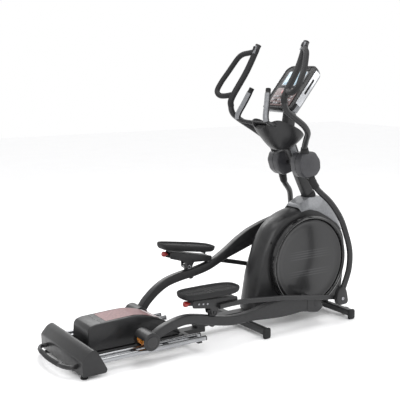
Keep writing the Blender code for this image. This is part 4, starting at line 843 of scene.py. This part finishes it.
def build_covers():
    room = [(-0.8315, 0.060), (-0.8245, 0.204)] + inset(COVER, 0.0035)[2:-1] + [(-0.2265, 0.060)]
    shell = boolean(soft_prism(COVER, 0.100, 0.010, 0.014), [prism(room, -0.0965, 0.0965)])
    piece("middle_cover", shell, "housing", "ramp",
          stands_for=("centre_cover",), sharp=42)
    top = smooth_path([(x, 0.0, z) for x, z in COVER[3:9]], 6)
    for name, look, first, last, half, lift in (
            ("panel", "lip", 1, 27, 0.084, 0.0006), ("patch", "patch", 2, 24, 0.078, 0.0014),
            ("patch_band", "white", 20, 22, 0.0782, 0.0018)):
        outline = [(p.x, p.z + lift) for p in top[first:last]]
        under = [(x, z - 0.002) for x, z in outline]
        piece("cover_" + name, prism(outline + under[::-1], -half, half), look, "ramp",
              "housing_plastic")
    outer = [(-0.950, 0.020), (-0.953, 0.107), (-0.915, 0.150), (-0.883, 0.164), (-0.864, 0.152),
             (-0.846, 0.120), (-0.803, 0.040), (-0.810, 0.020)]
    hollow = [(-0.9455, 0.010), (-0.949, 0.105), (-0.912, 0.146), (-0.884, 0.1585),
              (-0.868, 0.149), (-0.8515, 0.119), (-0.790, 0.119), (-0.790, 0.010)]
    cover = boolean(prism(rounded(outer, 0.010, 4), -0.284, 0.284),
                    [prism(hollow, -0.280, 0.280)])
    piece("back_cover", cover, "housing", bevel=0.002,
          stands_for=("rear_cover",))
    start = -0.953
    points = [(start, 0.205, 0.060), (start - 0.030, 0.205, 0.060), (-1.002, 0.182, 0.060),
              (-1.018, 0.135, 0.060), (-1.028, 0.0, 0.060)]
    points += [(x, -y, z) for x, y, z in reversed(points[:-1])]
    piece("lift_handle", tube(points, 0.0125), "coat",
          stands_for=("rear_lift_handle",))
    sleeve = tube([(-1.0195, 0.12, 0.060), (-1.028, 0.0, 0.060), (-1.0195, -0.12, 0.060)], 0.0138, 8)
    piece("lift_sleeve", sleeve, "foam")


def build_stabilisers():
    for label, x in (("mid", 0.291), ("front", 1.000)):
        section = [(x + a, 0.042 + b) for a, b in box_section(0.044, 0.040, 0.008)]
        meshes = [prism(section, -STABILISER_HALF, STABILISER_HALF)]
        if label == "front":
            outline = link_outline(CASTOR, 0.009, (1.010, 0.034), 0.010)
            for sign in (-1.0, 1.0):
                for near in (0.162, 0.192):
                    meshes.append(prism(outline, *span_y(sign, near, near + 0.006)))
                meshes.append(lathe([(0.0032, 0.165), (0.0032, 0.195)], CASTOR, 20, sign))
        piece(label + "_cross_tube", merge(meshes), "coat",
              stands_for=(label + "_stabiliser",), sharp=35)
        for side, sign in SIDES.items():
            rings = []
            for y, d in ((0.2725, 0.003), (0.274, 0.0), (0.284, 0.0), (0.288, 0.0025), (0.290, 0.006)):
                cap = [(x + a, 0.033 + b) for a, b in box_section(0.052 - 2 * d, 0.066 - 2 * d, 0.012)]
                rings.append([(u, sign * y, v) for u, v in cap])
            piece(label + "_cap_" + side, loft(rings), "rubber", sharp=40)


def build_wheels_and_feet():
    for side, sign in SIDES.items():
        tread = [(0.0045, 0.169), (0.020, 0.169), (0.0232, 0.171), (0.024, 0.174), (0.024, 0.186),
                 (0.0232, 0.189), (0.020, 0.191), (0.0045, 0.191)]
        wheel = lathe(tread, CASTOR, 48, sign, True)
        piece("castor_" + side, wheel, "rubber", "transport_wheel_" + side,
              stands_for=("transport_wheel_" + side,))
        spot = (-0.925, sign * 0.246)
        pad = [(0.020, 0.0), (0.022, 0.002), (0.022, 0.007), (0.019, 0.010), (0.0075, 0.0105),
               (0.007, 0.0215)]
        foot = loft([[(x, y, z) for x, y in circle(r, 40, spot)] for r, z in pad])
        piece("foot_pad_" + side, foot, "rubber", "levelling_foot_" + side,
              stands_for=("levelling_foot_" + side,))


# ---- rolling arms ------------------------------------------------------------------------------
ARM_CURVE = [(0.050, 0.008), (0.099, 0.034), (0.183, 0.059), (0.268, 0.067), (0.368, 0.050),
             (0.469, 0.023), (0.580, 0.003), (0.690, 0.003), (0.790, 0.011)]
# The plate's outline is turned with the arm's own bend about the roller.
ARM_BEND = 2.082
ARM_PLATE = [(0.650, -0.049), (0.655, 0.004), (0.750, 0.012), (0.850, 0.028), (0.960, 0.034),
             (1.080, 0.022), (1.200, 0.000), (1.279, -0.040), (1.306, -0.078), (1.262, -0.112),
             (1.190, -0.096), (1.130, -0.078), (1.076, -0.080), (0.950, -0.078), (0.830, -0.064),
             (0.740, -0.052)]


def build_arm(side, sign):
    pose = POSE[side]
    body = "arm_" + side
    where = {"place": pose["roller"], "angle": pose["arm_angle"]}
    beam = sweep(smooth_path([(x, sign * ARM_Y, z) for x, z in ARM_CURVE]),
                 box_section(2 * ARM_HALF, ARM_HEIGHT, 0.010))
    piece("arm_beam_" + side, beam, "coat", body, stands_for=("connecting_arm_" + side,),
          sharp=35, **where)
    plate = prism(rounded([turned(p, ARM_BEND) for p in ARM_PLATE], 0.030, 5),
                  *span_y(sign, ARM_Y - ARM_HALF + 0.001, ARM_Y + ARM_HALF - 0.001))
    piece("arm_plate_" + side, plate, "coat", body, bevel=0.006, **where)
    hub = [(0.030, ARM_Y - ARM_HALF), (0.030, ARM_Y + ARM_HALF - 0.004), (0.028, ARM_Y + ARM_HALF),
           (0.020, ARM_Y + ARM_HALF + 0.0015), (0.002, ARM_Y + ARM_HALF + 0.002)]
    piece("arm_hub_" + side, lathe(hub, (ARM_LENGTH, 0.0), 48, sign), "coat",
          body, **where)
    x, z = turned((1.168, -0.035), ARM_BEND)
    low, high = span_y(sign, ARM_Y - ARM_HALF, ARM_Y + ARM_HALF)
    band = block((x - 0.0016, low, z - 0.0400), (x + 0.0016, high, z + 0.0380))
    piece("arm_joint_line_" + side, band, "black", body, "frame_steel", **where)
    profile = [(0.040, FENDER_IN_Y), (0.0495, FENDER_IN_Y + 0.001), (FENDER_OUT, FENDER_IN_Y + 0.004),
               (FENDER_OUT, FENDER_OUT_Y - 0.004), (0.0495, FENDER_OUT_Y - 0.001), (0.047, FENDER_OUT_Y),
               (0.030, FENDER_OUT_Y)]
    drum = lathe(profile, sides=56, sign=sign)
    low, high = span_y(sign, FENDER_IN_Y + 0.006, FENDER_OUT_Y - 0.006)
    room = lathe([(FENDER_IN, low), (FENDER_IN, high)], sides=56)
    below = block((-0.07, low, -0.08), (0.07, high, -0.012))
    behind = block((-0.07, low, -0.08), (-0.020, high, 0.016))
    web = prism(link_outline((0.0, 0.0), 0.019, (0.052, 0.010), 0.016),
                *span_y(sign, ARM_Y - 0.014, ARM_Y + 0.014))
    bore = lathe([(0.0131, ARM_Y - 0.02), (0.0131, ARM_Y + 0.02)], sides=40, sign=sign)
    fender = boolean(boolean(drum, [room, below, behind]), [web], "UNION")
    piece("fender_" + side, boolean(fender, [bore]), "housing", body, "frame_steel", sharp=32, **where)
    cap = [(0.0335, FENDER_OUT_Y - 0.001), (0.033, FENDER_OUT_Y + 0.0015),
           (0.028, FENDER_OUT_Y + 0.0028), (0.001, FENDER_OUT_Y + 0.0035)]
    piece("fender_cap_" + side, lathe(cap, sides=48, sign=sign), "lip", body, **where)
    lug = prism(link_outline(PEDAL_PIVOT, 0.018, (PEDAL_PIVOT[0], 0.015), 0.024),
                *span_y(sign, ARM_Y - 0.012, ARM_Y + 0.012))
    pin = lathe([(0.008, 0.193), (0.008, 0.266)], PEDAL_PIVOT, 28, sign)
    piece("pivot_lug_" + side, merge([lug, pin]), "coat", body, **where)
    for label, y in (("inner", 0.198), ("outer", 0.262)):
        wheel = [(0.0095, y - 0.016), (0.030, y - 0.016), (0.036, y - 0.0155), (0.039, y - 0.0125),
                 (0.040, y - 0.009), (0.040, y + 0.009), (0.039, y + 0.0125), (0.036, y + 0.0155),
                 (0.030, y + 0.016), (0.0095, y + 0.016)]
        tyre = lathe(wheel, sides=64, sign=sign, endless=True)
        piece("roller_" + label + "_" + side, tyre, "amber", "wheels_" + side,
          stands_for=("track_wheel_" + label + "_" + side,), **where)
        hub = [(0.0095, y - 0.0162), (0.019, y - 0.0162), (0.0185, y - 0.0168), (0.0095, y - 0.0168)]
        core = lathe(hub, sides=40, sign=sign, endless=True)
        piece("roller_hub_" + label + "_" + side, core, "steel", "wheels_" + side,
              **where)


# ---- pedals ------------------------------------------------------------------------------------
def pedal_outline(distance, count=72):
    toe, heel, half = PEDAL_FRONT - distance, PEDAL_REAR + distance, PEDAL_HALF - distance
    points = []
    for i in range(count):
        angle = 2 * math.pi * i / count
        c, s = math.cos(angle), math.sin(angle)
        power = 0.62 if c > 0 else 0.52
        x = 0.5 * (toe + heel) + 0.5 * (toe - heel) * math.copysign(abs(c) ** power, c)
        width = half * (1.0 if c > 0 else 0.97)
        points.append((x, width * math.copysign(abs(s) ** power, s)))
    return points


def build_pedal(side, sign):
    pose = POSE[side]
    hinge = moved(pose["pivot"], PEDAL_HINGE, pose["pedal_angle"])
    where = {"place": hinge, "angle": pose["pedal_angle"] + PEDAL_PITCH}
    body = "pedal_" + side
    layers = [(0.024, 0.010), (0.014, 0.0125), (0.006, 0.019), (0.002, 0.028), (0.0, 0.038),
              (0.0004, 0.0455), (0.002, 0.0485), (0.0042, PEDAL_TOP), (0.0066, 0.0495),
              (0.0085, 0.047), (0.0105, 0.0385), (0.013, 0.0362)]
    tub = loft([[(x, sign * ARM_Y + y, z) for x, y in pedal_outline(d)] for d, z in layers])
    piece("footplate_" + side, tub, "rubber", body, stands_for=("pedal_" + side,),
          sharp=40, **where)
    outline, pitch, groove = pedal_outline(0.020, 240), 0.0125, 0.004
    ribs = []
    x = PEDAL_REAR + 0.026
    while x < PEDAL_FRONT - 0.024:
        wide = max((abs(y) for u, y in outline if abs(u - x) < 0.004), default=0.0)
        if wide > 0.02:
            section = [(x - 0.0034, 0.0355), (x - 0.0026, 0.0392), (x + 0.0026, 0.0392),
                       (x + 0.0034, 0.0355)]
            for y0, y1 in ((-wide, -groove), (groove, wide)):
                ribs.append(prism(section, sign * ARM_Y + y0, sign * ARM_Y + y1))
        x += pitch
    piece("tread_" + side, merge(ribs), "tread", body, bevel=0.0009, **where)
    barrel = prism(link_outline((0.0, 0.0), 0.007, (0.0, PEDAL_LOW + 0.004), 0.009),
                   *span_y(sign, ARM_Y - 0.020, ARM_Y + 0.020))
    piece("pedal_barrel_" + side, barrel, "coat", body, **where)


def build_pedal_arm(side, sign):
    pose = POSE[side]
    where = {"place": pose["pivot"], "angle": pose["pedal_angle"]}
    body = "pedal_arm_" + side
    cheek_out = 0.264
    plate = rounded([(-0.155, 0.042), (-0.030, 0.030), (-0.019, -0.012), (0.0, -0.020),
                     (0.019, -0.012), (0.030, 0.034), (0.165, 0.052), (0.160, 0.086),
                     (-0.155, 0.086)], 0.010, 4)
    bore = lathe([(0.0131, 0.18), (0.0131, 0.28)], sides=28, sign=sign)
    cheeks = [boolean(prism(plate, *span_y(sign, *pair)), [bore])
              for pair in ((0.196, 0.204), (0.256, cheek_out))]
    piece("cheeks_" + side, merge(cheeks), "coat", body, bevel=0.0014,
          stands_for=("pedal_arm_" + side,), **where)
    low, high = span_y(sign, 0.197, 0.263)
    deck = block((-0.150, low, 0.079), (0.150, high, 0.085))
    piece("bracket_deck_" + side, deck, "coat", body, bevel=0.002, **where)
    bar_y = sign * (cheek_out + 0.014)
    points = [(0.020, 0.040), (0.110, 0.048), (0.195, 0.052), (0.340, 0.048), (0.520, 0.040),
              (0.680, 0.026), (0.870, 0.008), (PEDAL_ARM_LENGTH, 0.0)]
    bar = sweep(smooth_path([(x, bar_y, z) for x, z in points], 5), box_section(0.025, 0.030, 0.008))
    eye = lathe([(0.018, bar_y - 0.013), (0.020, bar_y - 0.011), (0.020, bar_y + 0.011),
                   (0.018, bar_y + 0.013)], (PEDAL_ARM_LENGTH, 0.0), 40)
    piece("foot_link_" + side, merge([bar, eye]), "coat", body, sharp=35, **where)
    bolts = [(-0.115, cheek_out, 0.064), (-0.085, cheek_out, 0.062), (-0.055, cheek_out, 0.060)]
    screws("bracket_bolts_" + side, bolts, 0.0062, sign, body, **where)
    knob = []
    for x, radius in ((-0.0130, 0.0090), (-0.0125, 0.0140), (-0.009, 0.0170), (0.007, 0.0170),
                      (0.0105, 0.0145), (0.0125, 0.0080), (0.013, 0.0060), (0.026, 0.0060)):
        flute = 0.07 if radius > 0.012 else 0.0
        ring = []
        for i in range(48):
            angle = 2 * math.pi * i / 48
            r = radius * (1.0 - flute * (0.5 + 0.5 * math.cos(8 * angle)))
            ring.append((x, sign * ARM_Y + r * math.cos(angle), r * math.sin(angle)))
        knob.append(ring)
    spot = moved(pose["pivot"], (-0.184, 0.064), pose["pedal_angle"])
    piece("tilt_knob_" + side, loft(knob), "red", "pedal_knob_" + side,
          place=spot, angle=pose["pedal_angle"], stands_for=("pedal_knob_" + side,), sharp=40)


# ---- swing arms --------------------------------------------------------------------------------
# Points are x and z from the mast axle, then the distance from the middle plane.
SWING_LOWER = [(0.004, -0.850, 0.306), (0.041, -0.802, 0.306), (0.099, -0.703, 0.306),
               (0.121, -0.585, 0.306), (0.108, -0.460, 0.300), (0.103, -0.360, 0.270),
               (0.078, -0.258, 0.220), (0.024, -0.168, 0.180), (0.002, -0.086, 0.150)]
SWING_UPPER = [(-0.004, 0.000, 0.135), (-0.020, 0.105, 0.148), (-0.035, 0.170, 0.190),
               (-0.061, 0.232, 0.248), (-0.107, 0.291, 0.272), (-0.161, 0.347, 0.266),
               (-0.203, 0.398, 0.252), (-0.209, 0.449, 0.244), (-0.187, 0.502, 0.238),
               (-0.046, 0.632, 0.213), (0.069, 0.770, 0.182)]
SWING_LOOP = [(-0.168, 0.516, 0.240), (-0.200, 0.514, 0.288), (-0.213, 0.520, 0.338),
              (-0.201, 0.546, 0.372), (-0.160, 0.590, 0.364), (-0.102, 0.643, 0.339),
              (-0.038, 0.712, 0.294), (-0.012, 0.733, 0.262), (0.014, 0.735, 0.226),
              (0.036, 0.736, 0.192)]
SWING_STEPS = 6


def build_swing(side, sign):
    pose = POSE[side]
    where = {"place": SWING, "angle": pose["swing_angle"]}
    body = "swing_" + side
    path = smooth_path([(x, sign * y, z) for x, z, y in SWING_LOWER + SWING_UPPER], SWING_STEPS)
    pole = sweep(path, circle(TUBE, 24))
    hub = lathe([(0.028, BOOT_IN_Y + 0.006), (0.028, BOOT_OUT_Y - 0.012)], sides=40, sign=sign)
    piece("swing_pole_" + side, merge([pole, hub]), "coat", body,
          stands_for=("swing_arm_" + side,), sharp=35, **where)
    loop = tube([(x, sign * y, z) for x, z, y in SWING_LOOP], 0.0176)
    piece("loop_grip_" + side, loop, "foam", body, **where)
    grip = path[SWING_STEPS * (len(SWING_LOWER) + 7):-1]
    piece("main_grip_" + side, sweep(grip, circle(TUBE + 0.0012, 24)), "foam", body,
          **where)
    along = (path[-1] - path[-3]).normalized()
    cap_path = [path[-1] - along * 0.004 + along * t for t in (0.0, 0.003, 0.0052, 0.0068, 0.0076)]
    cap = sweep(cap_path, circle(TUBE + 0.0014, 24), [1.0, 0.99, 0.93, 0.80, 0.52])
    piece("grip_end_" + side, cap, "black", body, "black_rubber", **where)
    shoe = rounded([(-0.040, -0.915), (0.036, -0.925), (0.048, -0.905), (0.044, -0.830),
                    (0.020, -0.800), (-0.020, -0.812), (-0.046, -0.860)], 0.018, 5)
    bracket = prism(shoe, *span_y(sign, 0.289, 0.325))
    piece("swing_shoe_" + side, bracket, "housing", body, "frame_steel", bevel=0.005, **where)
    screws("shoe_bolt_" + side, [(0.0, 0.3255, -SWING_LENGTH)], 0.011, sign, body, **where)
    top = Vector(SWING_UPPER[-1][:2])
    below = Vector(SWING_UPPER[-2][:2])
    axis = (top - below).normalized()
    outward = Vector((-axis.y, axis.x))
    drop = 0.030
    share = drop / (top - below).length
    y_mid = SWING_UPPER[-1][2] + (SWING_UPPER[-2][2] - SWING_UPPER[-1][2]) * share
    centre = top - axis * drop
    a, b, root = axis * 0.024, outward * (TUBE + 0.0015), outward * (TUBE - 0.008)
    corners = [centre - a * 1.5 + root, centre + a * 0.9 + root, centre + a * 0.8 + b,
               centre - a * 1.4 + b]
    pad = prism([tuple(c) for c in corners], *span_y(sign, y_mid - 0.0125, y_mid + 0.0125))
    piece("button_pad_" + side, pad, "silver", body, bevel=0.002, **where)
    build_boot(side, sign, where, path)


def build_boot(side, sign, where, path):
    outline = [(-0.082, -0.030), (-0.050, -0.076), (0.040, -0.080), (0.080, -0.045),
               (0.086, 0.015), (0.050, 0.080), (-0.050, 0.088), (-0.085, 0.040)]
    shape = rounded(outline, 0.018, 5)

    def ring(distance, size):
        return [(x, sign * distance, z) for x, z in inset(shape, size)]
    stack = [(BOOT_IN_Y, 0.010), (BOOT_IN_Y + 0.001, 0.006), (BOOT_IN_Y + 0.004, 0.0015),
             (BOOT_IN_Y + 0.008, 0.0004), (BOOT_OUT_Y - 0.016, 0.0004), (BOOT_OUT_Y - 0.006, 0.0025),
             (BOOT_OUT_Y - 0.0015, 0.006), (BOOT_OUT_Y, 0.011)]
    piece("boot_" + side, loft([ring(y, d) for y, d in stack]), "boot", "swing_" + side,
          stands_for=("swing_boot_" + side,), sharp=45, **where)
    seam = loft([ring(y, -0.0006) for y in (0.112, 0.1135)])
    piece("boot_seam_" + side, seam, "black", "swing_" + side, "housing_plastic", **where)
    joint = SWING_STEPS * len(SWING_LOWER)
    for label, first, scales in (
            ("mouth", joint, [1.55, 1.60, 1.52, 1.56, 1.44, 1.48, 1.34, 1.22]),
            ("skirt", joint - 2 * SWING_STEPS + 1, [1.20, 1.30, 1.26, 1.38, 1.34, 1.44])):
        cuff = sweep(path[first:first + len(scales)], circle(TUBE, 28), scales)
        piece("boot_" + label + "_" + side, cuff, "rubber", "swing_" + side, **where)


# ---- stage -------------------------------------------------------------------------------------
FLOOR_HALF = 14
# Name, place, diameter and power of each soft lamp.
LAMPS = (("key", (-2.6, -3.6, 3.4), 2.6, 70.0), ("fill", (3.6, -2.4, 2.6), 2.8, 40.0),
         ("back", (0.6, 3.6, 3.2), 2.6, 55.0), ("top", (0.0, 0.0, 4.2), 3.0, 70.0))
CAMERA_PLACE = (-2.657 + SHIFT, -4.008, 1.662)
CAMERA_PITCH, CAMERA_HEADING = math.radians(9.53), math.radians(56.643)
SENSOR, LENS_IN_SENSORS = 36.0, 801.5 / 400.0


def aim_at(thing, direction):
    thing.rotation_euler = direction.to_track_quat("-Z", "Y").to_euler()


def build_stage():
    pale = (0.97, 0.97, 0.975)
    corners = [(a * FLOOR_HALF, b * FLOOR_HALF, 0) for a, b in ((-1, -1), (1, -1), (1, 1), (-1, 1))]
    floor_mesh = mesh_from(corners, [(0, 1, 2, 3)])
    floor_mesh.materials.append(surface("pale_floor", tuple(0.985 * c for c in pale), pale, 0.9,
                                        scale=2.0, grain=300.0, bump=0.0, spread=0.02, specular=0.1))
    floor = new_object("floor", floor_mesh)
    floor.location.z = -0.0005
    world = bpy.data.worlds.new("studio")
    world.use_nodes = True
    preset(world.node_tree.nodes["Background"], Color=(1.0, 1.0, 1.0, 1.0), Strength=1.0)
    bpy.context.scene.world = world
    bpy.context.scene.view_settings.view_transform = "Standard"
    for name, place, size, power in LAMPS:
        data = bpy.data.lights.new(name, "AREA")
        data.shape = "DISK"
        data.size = size
        data.energy = power
        lamp = new_object(name, data)
        lamp.location = place
        aim_at(lamp, Vector((0.1, 0.0, 0.7)) - Vector(place))


def build_camera():
    data = bpy.data.cameras.new("view")
    data.sensor_width = SENSOR
    data.lens = LENS_IN_SENSORS * SENSOR
    camera = new_object("view", data)
    camera.location = CAMERA_PLACE
    flat = math.cos(CAMERA_PITCH)
    aim_at(camera, Vector((flat * math.cos(CAMERA_HEADING), flat * math.sin(CAMERA_HEADING),
                           -math.sin(CAMERA_PITCH))))
    bpy.context.scene.camera = camera


def main():
    build_camera()
    build_stage()
    dress_frame()
    for side, sign in SIDES.items():
        for build in (build_shell, build_disc, build_arm, build_pedal, build_pedal_arm, build_swing):
            build(side, sign)
    for build in (build_seam, build_cap, build_mast, build_cup, build_pulse, build_console,
                  build_tracks, build_covers, build_stabilisers, build_wheels_and_feet):
        build()


main()
